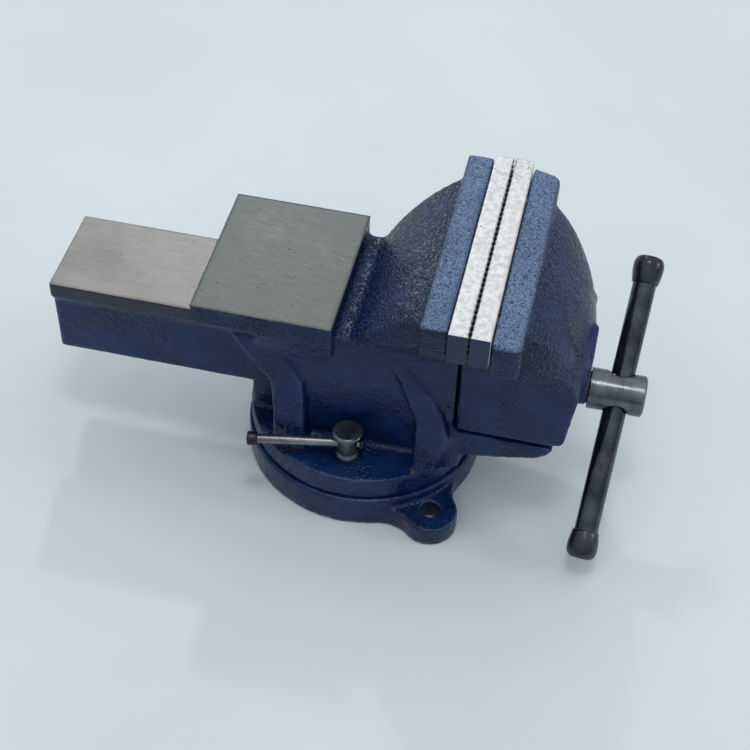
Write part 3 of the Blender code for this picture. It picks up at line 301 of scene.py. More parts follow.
def painted(name, coarse_at, sheen_from=1.0):
    """Blue gloss enamel over cast iron; coarse_at(tree, place) gives how leathery each face is.

    Above the height given last, the paint gets a pale painted sheen of sky light, broken by dimples of plain
    paint, as on the jaw heads' tops.
    Returns the material, its tree, shader and place, and the colour, roughness and height so far.
    """
    material, tree, shader = new_material(name)
    place = object_place(tree)
    coarse = coarse_at(tree, place)
    skin = place_group(tree, paint_skin, {"Place": place, "Coarse": coarse})
    edge = add(tree, "ShaderNodeAttribute", attribute_name="edge").outputs["Fac"]
    hollow = add(tree, "ShaderNodeAttribute", attribute_name="hollow").outputs["Fac"]
    colour = mixed(tree, spread(tree, skin["Runs"], 0.35, 0.68), PAINT_DEEP, PAINT_LIGHT)
    level = add(tree, "ShaderNodeSeparateXYZ", {0: place}).outputs["Z"]
    # Painted sheen: the tops above that height are lightened, as if lit by the sky, and the dimples hold it
    # back.
    top_sheen = spread(tree, level, sheen_from, sheen_from + 0.0015)
    colour = mixed(tree, top_sheen, colour, PAINT_TOP_SHEEN)
    # Painted shade: the pits between the beads are darkened, less on the sheened tops.
    pit_shade = maths(tree, "MULTIPLY", skin["Pits"], spread(tree, top_sheen, 0.0, 1.0, 0.80, 0.40))
    colour = mixed(tree, pit_shade, colour, DIRT_AND_SHADE)
    dimples = spread(tree, noise(tree, place, 820.0, 1.0), 0.34, 0.47, 0.80, 0.0)
    dimples = maths(tree, "MULTIPLY", dimples, top_sheen)
    colour = mixed(tree, dimples, colour, PAINT_LIGHT)
    # Painted highlight: bead crests on the faces between 120 and 140 mm high are lightened, more in some
    # patches than others.
    high_crests = maths(tree, "MULTIPLY", skin["Crests"], spread(tree, level, 0.120, 0.140))
    crest_highlight = maths(tree, "MULTIPLY", high_crests, spread(tree, skin["Runs"], 0.35, 0.65, 0.25, 0.70))
    colour = mixed(tree, crest_highlight, colour, PAINT_CREST_HIGHLIGHT)
    rubbed = maths(tree, "MULTIPLY", edge, spread(tree, skin["Runs"], 0.42, 0.62))
    colour = mixed(tree, maths(tree, "MULTIPLY", rubbed, 0.55), colour, PAINT_THIN)
    # Painted shade: concave corners are darkened by 45 % at most.
    colour = mixed(tree, maths(tree, "MULTIPLY", hollow, 0.45), colour, DIRT_AND_SHADE)
    rough = spread(tree, skin["Runs"], 0.3, 0.7, 0.17, 0.32)
    height = maths(tree, "SUBTRACT", skin["Height"], maths(tree, "MULTIPLY", dimples, 0.35))
    return material, tree, shader, place, colour, rough, height


def cover(tree, shader, colour, rough, height, depth, bare=None, metal=None):
    """Joins colour, roughness and height to the shader, and the bare metal's where it shows."""
    if metal:
        colour = mixed(tree, bare, colour, metal[0])
        rough = maths(tree, "ADD", maths(tree, "MULTIPLY", rough, maths(tree, "SUBTRACT", 1.0, bare)),
                      maths(tree, "MULTIPLY", metal[1], bare))
        height = maths(tree, "ADD", maths(tree, "MULTIPLY", height, maths(tree, "SUBTRACT", 1.0, bare)),
                       maths(tree, "MULTIPLY", metal[2], bare))
        tree.links.new(maths(tree, "MULTIPLY", bare, metal[3]), shader.inputs["Metallic"])
    tree.links.new(colour, shader.inputs["Base Color"])
    tree.links.new(rough, shader.inputs["Roughness"])
    shader.inputs["Specular IOR Level"].default_value = 0.30
    bump = add(tree, "ShaderNodeBump", {"Height": height, "Strength": 1.0, "Distance": depth})
    tree.links.new(bump.outputs["Normal"], shader.inputs["Normal"])


BASE_GRIT = 0.30


def base_coarse(tree, place):
    """Nearly smooth on the turned rim, and rough where the lugs run out."""
    far = add(tree, "ShaderNodeVectorMath", {0: place, 1: (1.0, 1.0, 0.0)}, operation="MULTIPLY").outputs[0]
    radius = add(tree, "ShaderNodeVectorMath", {0: far}, operation="LENGTH").outputs["Value"]
    return spread(tree, radius, 0.0715, 0.0760, BASE_GRIT, 0.75)


base_paint, tree, shader, place, colour, rough, height = painted("base enamel", base_coarse)
cover(tree, shader, colour, rough, height, 0.00030)


def nowhere(points):
    """No face of the base that shows is machined."""
    return np.zeros(len(points))


base = casting("swivel_base_casting", "swivel_base", 0.0011, nowhere, base_paint)
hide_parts("swivel_base")
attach(base, "base")


# ---- Body with the fixed jaw ------------------------------------------------------------
# One grey iron casting: round flange, buttresses, slide tunnel, anvil, valley, dome and the
# fixed jaw's head. It is painted all over, then the anvil's top is milled flat and bright.

anvil_top = 0.1379
anvil_front = -0.0110
jaw_top = cad_high.z
LEATHER_FROM = 0.1150
LEATHER_TO = 0.1300
FIXED_HEAD_SHEEN = 0.0016
COARSE_PAINT_DEPTH = 0.0011


def body_coarse(tree, place):
    """Leathery on the dome and heads above the walls, calmer lower down, smooth on the walls."""
    parts = add(tree, "ShaderNodeSeparateXYZ", {0: place}).outputs
    high = spread(tree, parts["Z"], LEATHER_FROM, LEATHER_TO)
    patches = spread(tree, noise(tree, place, 30.0, 2.0), 0.35, 0.65, 0.55, 1.0)
    low = spread(tree, noise(tree, place, 38.0, 2.0), 0.50, 0.72, 0.10, 0.60)
    return maths(tree, "MAXIMUM", maths(tree, "MULTIPLY", high, patches), low)


def milled_iron(tree, place, turn, tone):
    """Colour, roughness, height and metalness of cast iron that a cutter has passed over."""
    marks = place_group(tree, tool_marks, {"Place": place, "Turn": turn})
    dark = tuple(0.62 * c for c in tone) + (1.0,)
    light = tone + (1.0,)
    colour = mixed(tree, spread(tree, marks["Cloud"], 0.34, 0.66), dark, light)
    colour = mixed(tree, maths(tree, "MULTIPLY", spread(tree, marks["Lines"], 0.42, 0.62), 0.30),
                   colour, tuple(min(1.0, 1.35 * c) for c in tone) + (1.0,))
    colour = mixed(tree, maths(tree, "MULTIPLY", marks["Scratches"], 0.5), colour,
                   tuple(min(1.0, 1.7 * c) for c in tone) + (1.0,))
    colour = mixed(tree, marks["Pits"], colour, (0.05, 0.045, 0.04, 1.0))
    rough = spread(tree, marks["Cloud"], 0.3, 0.7, 0.36, 0.50)
    height = maths(tree, "SUBTRACT", maths(tree, "MULTIPLY", marks["Lines"], 0.07),
                   maths(tree, "ADD", maths(tree, "MULTIPLY", marks["Pits"], 0.4),
                         maths(tree, "MULTIPLY", marks["Scratches"], 0.04)))
    return colour, rough, height, 0.75


# The top 1.6 mm of the fixed head gets the painted sheen of sky light.
sheen_start = jaw_top - FIXED_HEAD_SHEEN
body_paint, tree, shader, place, colour, rough, height = painted("body enamel", body_coarse, sheen_start)
parts = add(tree, "ShaderNodeSeparateXYZ", {0: place}).outputs
bare = maths(tree, "MULTIPLY", spread(tree, parts["Z"], anvil_top - 0.00055, anvil_top - 0.00035),
             maths(tree, "LESS_THAN", parts["X"], anvil_front + 0.0004))
bare = maths(tree, "MULTIPLY", bare, maths(tree, "LESS_THAN", parts["Z"], anvil_top + 0.001))
ANVIL_TONE = (0.138, 0.142, 0.136)
ANVIL_CUT_ANGLE = 0.35
cover(tree, shader, colour, rough, height, COARSE_PAINT_DEPTH, bare,
      milled_iron(tree, place, ANVIL_CUT_ANGLE, ANVIL_TONE))


def anvil_face(points):
    """1 on the milled top of the anvil pad, which stays flat and sharp."""
    x, z = points[:, 0], points[:, 2]
    return ((np.abs(z - anvil_top) < 0.0006) & (x < anvil_front + 0.001)).astype(float)


body = casting("vise_body_casting", "vise_body", 0.00125, anvil_face, body_paint)
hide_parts("vise_body")
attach(body, "vise_body")


# ---- Moving jaw with its slide -------------------------------------------------------------
# The second casting: jaw head, crowned front, screw boss, and a long channel that slides in the
# body. The top of the channel is planed bright, its upper flanks are darkened with painted shade,
# and the rest is painted.

slide_top = 0.1158
rail_foot = slide_top - 0.0118
jaw_rear = 0.0612
MOVING_HEAD_SHEEN = 0.0075
FLANK_SHINE = 0.10
FLANK_SHADE = 0.60


def jaw_coarse(tree, place):
    """Leathery on the jaw head and crowned front, smooth along the slide."""
    parts = add(tree, "ShaderNodeSeparateXYZ", {0: place}).outputs
    high = spread(tree, parts["Z"], LEATHER_FROM, LEATHER_TO)
    patches = spread(tree, noise(tree, place, 30.0, 2.0), 0.35, 0.65, 0.60, 1.0)
    low = spread(tree, noise(tree, place, 38.0, 2.0), 0.48, 0.72, 0.08, 0.45)
    return maths(tree, "MAXIMUM", maths(tree, "MULTIPLY", high, patches), low)


# The top 7.5 mm of the moving jaw gets the painted sheen of sky light.
sheen_start = jaw_top - MOVING_HEAD_SHEEN
jaw_paint, tree, shader, place, colour, rough, height = painted("moving jaw enamel", jaw_coarse, sheen_start)
parts = add(tree, "ShaderNodeSeparateXYZ", {0: place}).outputs
behind = maths(tree, "LESS_THAN", parts["X"], jaw_rear)
top_face = maths(tree, "GREATER_THAN", parts["Z"], slide_top - 0.0005)
ragged = maths(tree, "ADD", parts["Z"], spread(tree, noise(tree, place, 60.0, 2.0), 0.3, 0.7, -0.0006, 0.0006))
flank = maths(tree, "GREATER_THAN", ragged, rail_foot + 0.0004)
bare = maths(tree, "MAXIMUM", top_face, maths(tree, "MULTIPLY", flank, FLANK_SHINE))
bare = maths(tree, "MULTIPLY", bare, behind)
# Painted shade: the upper flanks behind the jaw, under the slide's top, are darkened by 60 %.
flank_shade = maths(tree, "MULTIPLY", maths(tree, "MULTIPLY", flank, behind), FLANK_SHADE)
colour = mixed(tree, flank_shade, colour, DIRT_AND_SHADE)
SLIDE_TONE = (0.285, 0.270, 0.252)
cover(tree, shader, colour, rough, height, COARSE_PAINT_DEPTH, bare,
      milled_iron(tree, place, 0.0, SLIDE_TONE))


def planed_slide(points):
    """1 on the planed rails of the slide behind the jaw."""
    x, z = points[:, 0], points[:, 2]
    return ((x < jaw_rear - 0.001) & (z > rail_foot + 0.0008)).astype(float)


moving = casting("moving_jaw_casting", "moving_jaw", 0.0013, planed_slide, jaw_paint)
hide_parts("moving_jaw")
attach(moving, "moving_jaw")


# ---- Jaw plates and their screws ----------------------------------------------------------
# Two hardened steel bars, ground on top and cut with crossed grooves on the clamping face. Each
# is held by two countersunk screws, whose heads sink below the grooves.

JAW_HALF_WIDTH = 0.075
PLATE_HEIGHT = 0.0200
PLATE_SCREW_Y = 0.050
PLATE_SCREW_DROP = 0.01025
PLATE_SCREW_RIM = 0.0078
GROOVE_PITCH = 0.0042
GROOVE_DEPTH = 0.00065
EDGE_BREAK = 0.0009


def cross_grooves(y, z):
    """Depth of two sets of V grooves at 45 degrees, 0 on the diamonds' tips."""
    one = np.abs(((y + z) / GROOVE_PITCH) % 1.0 - 0.5) * 2
    other = np.abs(((y - z) / GROOVE_PITCH) % 1.0 - 0.5) * 2
    return GROOVE_DEPTH * np.maximum(np.clip(2 * one - 1, 0, 1), np.clip(2 * other - 1, 0, 1))


plate_steel, tree, shader = new_material("plate steel")
place = object_place(tree)
marks = place_group(tree, tool_marks, {"Place": place, "Turn": 1.45})
tone = mixed(tree, spread(tree, marks["Cloud"], 0.32, 0.68), (0.46, 0.455, 0.44, 1), (0.64, 0.64, 0.632, 1))
tone = mixed(tree, spread(tree, noise(tree, place, 260.0, 4.0, 0.65), 0.38, 0.62), tone, (0.74, 0.74, 0.73, 1))
specks = spread(tree, noise(tree, place, 760.0, 3.0, 0.7), 0.60, 0.70)
rust = spread(tree, noise(tree, place, 330.0, 1.0), 0.775, 0.80)
tone = mixed(tree, maths(tree, "MULTIPLY", specks, 0.45), tone, (0.20, 0.19, 0.18, 1))
tone = mixed(tree, rust, tone, (0.10, 0.075, 0.06, 1))
# Painted shade: the clamping face, and its grooves more, are darkened toward near black.
groove_shade = add(tree, "ShaderNodeAttribute", attribute_name="groove_shade").outputs["Fac"]
tone = mixed(tree, maths(tree, "MULTIPLY", groove_shade, 0.75), tone, (0.045, 0.045, 0.05, 1))
parts = add(tree, "ShaderNodeSeparateXYZ", {0: place}).outputs
outer = maths(tree, "MAXIMUM",
              maths(tree, "GREATER_THAN", maths(tree, "ABSOLUTE", parts["Y"]), JAW_HALF_WIDTH - 0.0004),
              maths(tree, "LESS_THAN", parts["Z"], jaw_top - PLATE_HEIGHT))
tone = mixed(tree, outer, tone, mixed(tree, spread(tree, marks["Cloud"], 0.30, 0.70), DIRT_AND_SHADE, PAINT_LIGHT))
tree.links.new(tone, shader.inputs["Base Color"])
tree.links.new(spread(tree, marks["Cloud"], 0.3, 0.7, 0.38, 0.55), shader.inputs["Roughness"])
tree.links.new(maths(tree, "MULTIPLY", maths(tree, "SUBTRACT", 1.0, outer), 0.30), shader.inputs["Metallic"])
grain = maths(tree, "ADD", maths(tree, "MULTIPLY", marks["Lines"], 0.20),
              maths(tree, "MULTIPLY", noise(tree, place, 900.0, 3.0), 0.9))
bump = add(tree, "ShaderNodeBump", {"Height": grain, "Distance": 0.00016, "Strength": 1.0})
tree.links.new(bump.outputs["Normal"], shader.inputs["Normal"])


def jaw_plate(name, node, body_name, facing):
    """The CAD plate in even quads. Its clamping face sinks by the crossed grooves, except round the
    screws, and its top edge is broken unevenly."""
    mesh = dense_mesh(name, node, 0.00055)
    points = mesh_points(mesh)
    low, high = points.min(0), points.max(0)
    face = high[0] if facing > 0 else low[0]
    near = np.clip(1 - np.abs(points[:, 0] - face) / 0.0011, 0, 1)
    screw_y = np.abs(np.abs(points[:, 1]) - PLATE_SCREW_Y)
    screw_z = points[:, 2] - (jaw_top - PLATE_SCREW_DROP)
    clear = np.clip((np.hypot(screw_y, screw_z) - PLATE_SCREW_RIM) / 0.0006, 0, 1)
    depth = cross_grooves(points[:, 1], points[:, 2]) * clear * near
    edge = np.clip((points[:, 2] - (high[2] - EDGE_BREAK)) / EDGE_BREAK, 0, 1) * near
    ragged = edge * (0.00014 + 0.00026 * lumps(points, 0.0026, 3) + 0.00016 * lumps(points, 0.0070, 4))
    points[:, 0] -= facing * (depth + np.maximum(ragged, 0))
    set_points(mesh, points)
    # This mask carries the painted shade of the clamping face and its grooves.
    set_mask(mesh, "groove_shade", np.clip(near * 0.9 + depth / GROOVE_DEPTH, 0, 1))
    smooth = soften(mesh, 1, np.ones(len(points)))
    set_points(mesh, smooth)
    mesh.polygons.foreach_set("use_smooth", np.ones(len(mesh.polygons), bool))
    plate = link_mesh(name, mesh, plate_steel)
    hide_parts(node)
    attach(plate, body_name)


jaw_plate("fixed_plate_serrated", "fixed_jaw_plate", "vise_body", 1)
jaw_plate("moving_plate_serrated", "moving_jaw_plate", "moving_jaw", -1)


def oiled_steel(name, tone, rough, metal, grain_scale):
    """Steel as it comes from the lathe or the oil bath: cloudy tone, faint lines, small pits."""
    material, tree, shader = new_material(name)
    place = object_place(tree)
    cloud = noise(tree, place, 65.0, 4.0, 0.6)
    grain = noise(tree, place, grain_scale, 3.0)
    dark = tuple(0.55 * c for c in tone) + (1.0,)
    light = tuple(min(1.0, 1.25 * c) for c in tone) + (1.0,)
    colour = mixed(tree, spread(tree, cloud, 0.34, 0.66), dark, light)
    pits = spread(tree, noise(tree, place, 700.0, 1.0), 0.74, 0.80)
    colour = mixed(tree, maths(tree, "MULTIPLY", pits, 0.6), colour, (0.03, 0.026, 0.022, 1))
    tree.links.new(colour, shader.inputs["Base Color"])
    tree.links.new(spread(tree, cloud, 0.3, 0.7, rough - 0.07, rough + 0.10), shader.inputs["Roughness"])
    shader.inputs["Metallic"].default_value = metal
    bump = add(tree, "ShaderNodeBump", {"Height": grain, "Distance": 0.00008, "Strength": 1.0})
    tree.links.new(bump.outputs["Normal"], shader.inputs["Normal"])
    return material


screw_steel = oiled_steel("plate screw steel", (0.10, 0.10, 0.105), 0.34, 0.85, 1500.0)


def finish_nodes(material, *nodes):
    """Gives the CAD nodes that are shown as they are their material."""
    for name in nodes:
        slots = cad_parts[name].data.materials
        slots.clear()
        slots.append(material)


finish_nodes(screw_steel, "left_fixed_plate_screw", "right_fixed_plate_screw",
             "left_moving_plate_screw", "right_moving_plate_screw")


# ---- Clamping screw --------------------------------------------------------------------
# A bar of mild steel turned from one piece: a 6 mm pitch trapezoid thread, and a thick head
# that bears on the moving jaw. The head is turned bright and drilled across for the handle.

SCREW_Z = 0.0782
SCREW_RADIUS = 0.0090
SCREW_HEAD_RADIUS = 0.0122
THREAD_PITCH = 0.006
THREAD_DEPTH = 0.0013
THREAD_FROM = -0.157
THREAD_TO = 0.076

turned_steel, tree, shader = new_material("turned steel")
place = object_place(tree)
rings = noise(tree, stretched(tree, place, (2300.0, 25.0, 25.0)), 1.0, 3.0)
cloud = noise(tree, place, 90.0, 4.0, 0.6)
tone = mixed(tree, spread(tree, cloud, 0.32, 0.68), (0.080, 0.088, 0.102, 1), (0.165, 0.178, 0.195, 1))
tone = mixed(tree, maths(tree, "MULTIPLY", spread(tree, rings, 0.42, 0.64), 0.15), tone, (0.30, 0.32, 0.345, 1))
stain = spread(tree, noise(tree, place, 240.0, 2.0), 0.66, 0.74)
tone = mixed(tree, maths(tree, "MULTIPLY", stain, 0.5), tone, (0.09, 0.085, 0.08, 1))
tree.links.new(tone, shader.inputs["Base Color"])
tree.links.new(spread(tree, cloud, 0.3, 0.7, 0.17, 0.29), shader.inputs["Roughness"])
shader.inputs["Metallic"].default_value = 0.95
bump = add(tree, "ShaderNodeBump", {"Height": rings, "Distance": 0.00010, "Strength": 1.0})
tree.links.new(bump.outputs["Normal"], shader.inputs["Normal"])


def thread_cut(x, angle):
    """Depth of a right-hand trapezoid thread: a triangle wave along the helix, cut off at both ends."""
    turn = (x / THREAD_PITCH - angle / (2 * math.pi)) % 1.0
    wave = 1 - np.abs(turn - 0.5) * 2
    ends = np.clip((x - THREAD_FROM) / 0.003, 0, 1) * np.clip((THREAD_TO - x) / 0.003, 0, 1)
    return THREAD_DEPTH * np.clip((wave - 0.28) / 0.44, 0, 1) * ends


def trued(points, axis_z, radii, slack):
    """Points near one of the round surfaces about the X axis at that height, moved out to it exactly."""
    away = np.hypot(points[:, 1], points[:, 2] - axis_z)
    round_to = away.copy()
    for radius in radii:
        round_to = np.where(np.abs(away - radius) < slack, radius, round_to)
    scale = round_to / np.maximum(away, 1e-6)
    points[:, 1] *= scale
    points[:, 2] = axis_z + (points[:, 2] - axis_z) * scale
    return points


mesh = dense_mesh("clamping_screw_turned", "clamping_screw", 0.00062)
points = trued(mesh_points(mesh), SCREW_Z, (SCREW_RADIUS, SCREW_HEAD_RADIUS), 0.00035)
angle = np.arctan2(points[:, 2] - SCREW_Z, points[:, 1])
away = np.hypot(points[:, 1], points[:, 2] - SCREW_Z)
cut = thread_cut(points[:, 0], angle) * np.clip((away - 0.0070) / 0.0012, 0, 1)
points[:, 1] -= cut * np.cos(angle)
points[:, 2] -= cut * np.sin(angle)
set_points(mesh, points)
mesh.polygons.foreach_set("use_smooth", np.ones(len(mesh.polygons), bool))
screw = link_mesh("clamping_screw_turned", mesh, turned_steel)
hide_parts("clamping_screw")
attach(screw, "screw")


# ---- Collar, washer, spring and nut --------------------------------------------------------
# Inside the moving jaw a pinned collar pulls it back as the screw opens, and a short spring
# takes up the slack. The nut is a block of iron bolted to the body under the slide.

inner_steel = oiled_steel("inner steel", (0.26, 0.255, 0.25), 0.36, 0.9, 1100.0)
spring_wire = oiled_steel("spring wire", (0.13, 0.13, 0.14), 0.30, 0.9, 1800.0)
nut_iron = oiled_steel("nut iron", (0.17, 0.165, 0.16), 0.48, 0.7, 700.0)
finish_nodes(inner_steel, "retaining_collar", "retaining_pin", "thrust_washer",
             "left_nut_bolt", "right_nut_bolt", "left_tee_nut", "right_tee_nut")
finish_nodes(spring_wire, "take_up_spring")
finish_nodes(nut_iron, "screw_nut")


# ---- Handle ------------------------------------------------------------------------------
# A 14 mm steel bar that slides through the screw's head, with a barrel-shaped knob pressed on
# each end. Both are blackened and oiled, and fine rubbing marks show paler in the dark gloss.

def straight_pole(start, end):
    """Unit vector from start to end and two more square to it."""
    along = np.asarray(end, float) - np.asarray(start, float)
    along /= np.linalg.norm(along)
    side = np.cross(along, (0.0, 0.0, 1.0) if abs(along[2]) < 0.9 else (1.0, 0.0, 0.0))
    side /= np.linalg.norm(side)
    return along, side, np.cross(along, side)


def turned_mesh(name, origin, along, profile, around, shape=None):
    """A surface of revolution that closes on its axis at both ends.

    Point (i, j) = origin + d[i] * along + (r[i] - shape(d[i], a[j])) * (cos a[j] * side + sin a[j] * up),
    with a[j] = 2 pi j / around.
    """
    along, side, up = straight_pole(origin, np.asarray(origin) + np.asarray(along))
    distance, radius = np.array(profile, float).T
    angle = np.linspace(0, 2 * math.pi, around, endpoint=False)
    reach = np.repeat(radius[:, None], around, axis=1)
    if shape is not None:
        reach = reach - shape(distance[:, None], angle[None, :])
    ring = (np.cos(angle)[None, :, None] * side + np.sin(angle)[None, :, None] * up) * reach[:, :, None]
    points = np.asarray(origin) + distance[:, None, None] * along + ring
    poles = np.asarray(origin) + np.outer(distance[[0, -1]], along)
    rows, columns = reach.shape
    grid = np.arange(rows * columns).reshape(rows, columns)
    following = np.roll(grid, -1, axis=1)
    quads = np.stack([grid[:-1], following[:-1], following[1:], grid[1:]], axis=-1).reshape(-1, 4)
    first, last = rows * columns, rows * columns + 1
    start_fan = np.stack([np.full(columns, first), following[0], grid[0]], axis=-1)
    end_fan = np.stack([np.full(columns, last), grid[-1], following[-1]], axis=-1)
    mesh = bpy.data.meshes.new(name)
    mesh.from_pydata(np.concatenate([points.reshape(-1, 3), poles]).tolist(), [],
                     quads.tolist() + start_fan.tolist() + end_fan.tolist())
    bm = bmesh.new()
    bm.from_mesh(mesh)
    bmesh.ops.recalc_face_normals(bm, faces=bm.faces)
    bm.to_mesh(mesh)
    bm.free()
    mesh.polygons.foreach_set("use_smooth", np.ones(len(mesh.polygons), bool))
    return mesh


def smooth_profile(knots, steps):
    """The (distance, radius) knots joined by straight runs, each cut into steps."""
    knots = np.array(knots, float)
    share = np.linspace(0, 1, steps, endpoint=False)
    runs = knots[:-1, None] + (knots[1:] - knots[:-1])[:, None] * share[None, :, None]
    return np.concatenate([runs.reshape(-1, 2), knots[-1:]])


def blackened(name, tone, rough, across):
    """Oil-blackened steel: dark and glossy, cloudy, with fine rubbing marks across it."""
    material, tree, shader = new_material(name)
    place = object_place(tree)
    cloud = noise(tree, place, 75.0, 4.0, 0.6)
    fine = noise(tree, stretched(tree, place, across), 1.0, 3.0)
    dark = tuple(0.5 * c for c in tone) + (1.0,)
    light = tuple(min(1.0, 1.4 * c) for c in tone) + (1.0,)
    colour = mixed(tree, spread(tree, cloud, 0.30, 0.70), dark, light)
    colour = mixed(tree, maths(tree, "MULTIPLY", spread(tree, fine, 0.54, 0.72), 0.22), colour,
                   tuple(min(1.0, 2.2 * c) for c in tone) + (1.0,))
    tree.links.new(colour, shader.inputs["Base Color"])
    tree.links.new(spread(tree, fine, 0.3, 0.7, rough - 0.06, rough + 0.08), shader.inputs["Roughness"])
    shader.inputs["Metallic"].default_value = 0.9
    bump = add(tree, "ShaderNodeBump", {"Height": maths(tree, "ADD", fine, cloud), "Distance": 0.00006,
                                        "Strength": 1.0})
    tree.links.new(bump.outputs["Normal"], shader.inputs["Normal"])
    return material


handle_black = blackened("handle black", (0.062, 0.072, 0.084), 0.15, (900.0, 140.0, 900.0))
knob_black = blackened("knob black", (0.050, 0.056, 0.064), 0.26, (700.0, 700.0, 700.0))

HANDLE_LEAN = math.radians(50)
HANDLE_TILT = math.radians(3)
handle_axis = np.array([math.sin(HANDLE_TILT), math.cos(HANDLE_TILT) * math.sin(HANDLE_LEAN),
                        math.cos(HANDLE_TILT) * math.cos(HANDLE_LEAN)])
handle_middle = np.array([0.1506, 0.0, SCREW_Z])
BAR_RADIUS = 0.0070
KNOB_RADIUS = 0.0090


def along_handle(node):
    """How far along the handle's axis a CAD node starts and ends."""
    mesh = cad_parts[node].data
    distance = (mesh_points(mesh) - handle_middle) @ handle_axis
    return distance.min(), distance.max()


low_end, high_end = along_handle("handle_bar")
bar_profile = smooth_profile([(low_end + 0.0002, 0.0062), (low_end + 0.0010, BAR_RADIUS - 0.00003),
                              (high_end - 0.0010, BAR_RADIUS - 0.00003), (high_end - 0.0002, 0.0062)], 40)


def bar_uneven(distance, angle):
    """A drawn bar's small unevenness, 0 to 0.04 mm."""
    return 0.00002 * (1 + np.sin(distance * 310 + 2 * angle) * np.sin(distance * 90))


bar = link_mesh("handle_bar_drawn", turned_mesh("handle_bar_drawn", handle_middle, handle_axis, bar_profile, 64,
                                                bar_uneven), handle_black)
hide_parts("handle_bar")
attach(bar, "handle")


def barrel_knob(name, node, outwards):
    """A barrel: r = neck + (full - neck) * sin(pi s / 1.24) up to s = 0.62 of its length, full up to
    s = 0.66, then a quarter ellipse that closes in to the end's radius."""
    low, high = along_handle(node)
    length = high - low
    share = np.linspace(0, 1, 34)
    neck, end, turn_in = 0.0076, 0.0050, 0.66
    swell = neck + (KNOB_RADIUS - neck) * np.sin(np.clip(share / 0.62, 0, 1) * math.pi / 2)
    round_over = np.clip((share - turn_in) / (1 - turn_in), 0, 1)
    radius = np.where(share > turn_in, end + (KNOB_RADIUS - end) * np.sqrt(1 - 0.998 * round_over ** 2), swell)
    radius[0] = neck - 0.0006
    profile = np.stack([share * length, radius], axis=1)
    profile = np.concatenate([profile, [[length, end * 0.8], [length, end * 0.4]]])
    start = handle_middle + handle_axis * (low if outwards > 0 else high)
    mesh = turned_mesh(name, start, handle_axis * outwards, profile, 64)
    knob = link_mesh(name, mesh, knob_black)
    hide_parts(node)
    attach(knob, "handle")


barrel_knob("upper_knob_barrel", "upper_handle_knob", 1)
barrel_knob("lower_knob_barrel", "lower_handle_knob", -1)


# ---- Lock bolts and their levers ------------------------------------------------------------
# A stout bolt on each side pulls a T-nut up against the base. Its head is turned, and a short
# lever slides through it, with a black knob on the long end and a small cap on the other.

bolt_black = blackened("bolt black", (0.160, 0.176, 0.196), 0.25, (60.0, 60.0, 2000.0))
lever_steel = oiled_steel("lever steel", (0.24, 0.24, 0.245), 0.30, 0.9, 900.0)
lever_black = blackened("lever knob black", (0.045, 0.046, 0.050), 0.38, (600.0, 600.0, 600.0))


LOCK_CIRCLE = 0.052
BOLT_RADII = (0.0090, 0.0062)


def lock_bolt(side, sign):
    """The CAD bolt in even quads, its disc and neck made truly round about the bolt's own axis."""
    node = f"{side}_lock_bolt"
    mesh = dense_mesh(f"{side}_bolt_turned", node, 0.00042)
    points = mesh_points(mesh)
    centre_y = sign * LOCK_CIRCLE
    away = np.hypot(points[:, 0], points[:, 1] - centre_y)
    round_to = away.copy()
    for radius in BOLT_RADII:
        round_to = np.where(np.abs(away - radius) < 0.00028, radius, round_to)
    scale = round_to / np.maximum(away, 1e-6)
    points[:, 0] *= scale
    points[:, 1] = centre_y + (points[:, 1] - centre_y) * scale
    set_points(mesh, points)
    mesh.polygons.foreach_set("use_smooth", np.ones(len(mesh.polygons), bool))
    bolt = link_mesh(f"{side}_bolt_turned", mesh, bolt_black)
    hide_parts(node)
    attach(bolt, f"{side}_lock")


def lever_line(side):
    """Middle of a lever's CAD rod, and the level direction from there to its knob's middle."""
    rod = mesh_points(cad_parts[f"{side}_lock_lever"].data)
    knob = mesh_points(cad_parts[f"{side}_lever_knob"].data)
    middle = (rod.min(0) + rod.max(0)) / 2
    towards = (knob.min(0) + knob.max(0)) / 2 - middle
    towards[2] = 0.0
    towards /= np.linalg.norm(towards)
    return middle, towards


def span(node, middle, towards):
    """How far from the lever's middle a CAD node starts and ends."""
    distance = (mesh_points(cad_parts[node].data) - middle) @ towards
    return distance.min(), distance.max()


def lever(side):
    """Rod, knob and cap as turned shapes: each radius is a share of the full one at six stations."""
    middle, towards = lever_line(side)
    shapes = (("rod", "lock_lever", lever_steel, "plain_steel", [0.86, 1, 1, 1, 1, 0.86], 0.0028),
              ("end_knob", "lever_knob", lever_black, "dark_steel", [0.72, 0.90, 1.0, 1.0, 0.93, 0.62], 0.0043),
              ("end_cap", "lever_cap", lever_black, "dark_steel", [0.70, 0.93, 1.0, 1.0, 0.95, 0.75], 0.0038))
    for part, node, material, slot, swell, radius in shapes:
        low, high = span(f"{side}_{node}", middle, towards)
        ends = np.array([0.0, 0.06, 0.25, 0.75, 0.94, 1.0]) * (high - low) + low
        profile = smooth_profile(list(zip(ends, np.array(swell) * radius)), 8)
        name = f"{side}_lever_{part}"
        piece = link_mesh(name, turned_mesh(name, middle, towards, profile, 40), material)
        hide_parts(f"{side}_{node}")
        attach(piece, f"{side}_lever")


for side, sign in (("left", -1), ("right", 1)):
    lock_bolt(side, sign)
    lever(side)


# ---- Floor, light and camera -----------------------------------------------------------------
# A pale painted table top in soft daylight. Most of it is the even sky; four small windows behind,
# beside and above the vise put the glints on the wet-looking paint and the bright steel.

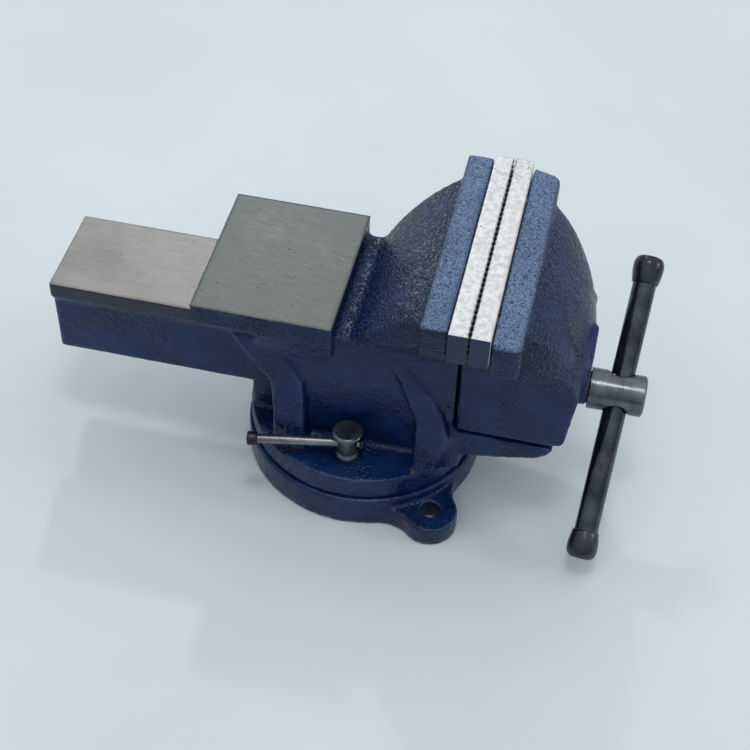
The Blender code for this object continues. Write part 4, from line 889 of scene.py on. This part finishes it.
floor_paint, tree, shader = new_material("pale table")
place = object_place(tree)
cloud = noise(tree, place, 4.0, 3.0)
tree.links.new(mixed(tree, spread(tree, cloud, 0.35, 0.65), (0.60, 0.665, 0.680, 1), (0.64, 0.705, 0.720, 1)),
               shader.inputs["Base Color"])
tree.links.new(spread(tree, noise(tree, place, 40.0, 3.0), 0.3, 0.7, 0.42, 0.52), shader.inputs["Roughness"])
floor_mesh = bpy.data.meshes.new("table_top")
reach = 6.0
corners = [(-reach, -reach, 0.0), (reach, -reach, 0.0), (reach, reach, 0.0), (-reach, reach, 0.0)]
floor_mesh.from_pydata(corners, [], [(0, 1, 2, 3)])
floor = link_mesh("table_top", floor_mesh, floor_paint)

scene = bpy.context.scene
world = bpy.data.worlds.new("daylight")
scene.world = world
world.use_nodes = True
tree = world.node_tree
sky = tree.nodes["Background"]
direction = add(tree, "ShaderNodeTexCoord").outputs["Generated"]
parts = add(tree, "ShaderNodeSeparateXYZ", {0: direction}).outputs
tilted = maths(tree, "ADD", parts["Z"], maths(tree, "MULTIPLY", parts["Y"], 0.15))
height_share = spread(tree, tilted, -0.1, 0.95)
tree.links.new(mixed(tree, height_share, (0.20, 0.235, 0.30, 1), (1.00, 1.02, 1.04, 1)), sky.inputs["Color"])
sky.inputs["Strength"].default_value = 0.95


def soft_light(name, place, target, size, power, tint):
    """A square window of light that faces the target."""
    data = bpy.data.lights.new(name, "AREA")
    data.shape = "SQUARE"
    data.size = size
    data.energy = power
    data.color = tint
    lamp = bpy.data.objects.new(name, data)
    scene.collection.objects.link(lamp)
    lamp.location = place
    lamp.rotation_euler = (Vector(place) - Vector(target)).to_track_quat("Z", "Y").to_euler()


soft_light("window", (-0.40, 1.20, 1.30), (0, 0, 0.12), 0.09, 3.6, (0.88, 0.95, 1.0))
soft_light("low_window", (-1.20, 1.40, 0.36), (0, 0, 0.12), 0.16, 1.4, (0.80, 0.90, 1.0))
soft_light("side_window", (1.60, 0.10, 0.75), (0.1, 0, 0.1), 0.26, 4.0, (0.86, 0.94, 1.0))
soft_light("skylight", (0.10, -0.30, 1.9), (0, 0, 0.08), 0.34, 5.5, (0.95, 0.98, 1.0))

camera = bpy.data.objects.new("camera", bpy.data.cameras.new("camera"))
scene.collection.objects.link(camera)
scene.camera = camera
camera.data.sensor_width = 36.0
camera.data.lens = 74.13
camera.data.clip_start = 0.02
azimuth, elevation, roll = math.radians(11.01), math.radians(47.16), math.radians(2.28)
back = Vector((math.sin(azimuth) * math.cos(elevation), -math.cos(azimuth) * math.cos(elevation),
               math.sin(elevation)))
right = Vector((math.cos(azimuth), math.sin(azimuth), 0.0))
up = back.cross(right)
across = math.cos(roll) * right + math.sin(roll) * up
above = -math.sin(roll) * right + math.cos(roll) * up
spot = Vector((0.01278, -0.04107, 0.100)) + back * 0.87906
camera.matrix_world = Matrix(((across.x, above.x, back.x, spot.x), (across.y, above.y, back.y, spot.y),
                              (across.z, above.z, back.z, spot.z), (0, 0, 0, 1)))
scene.view_settings.view_transform = "Standard"
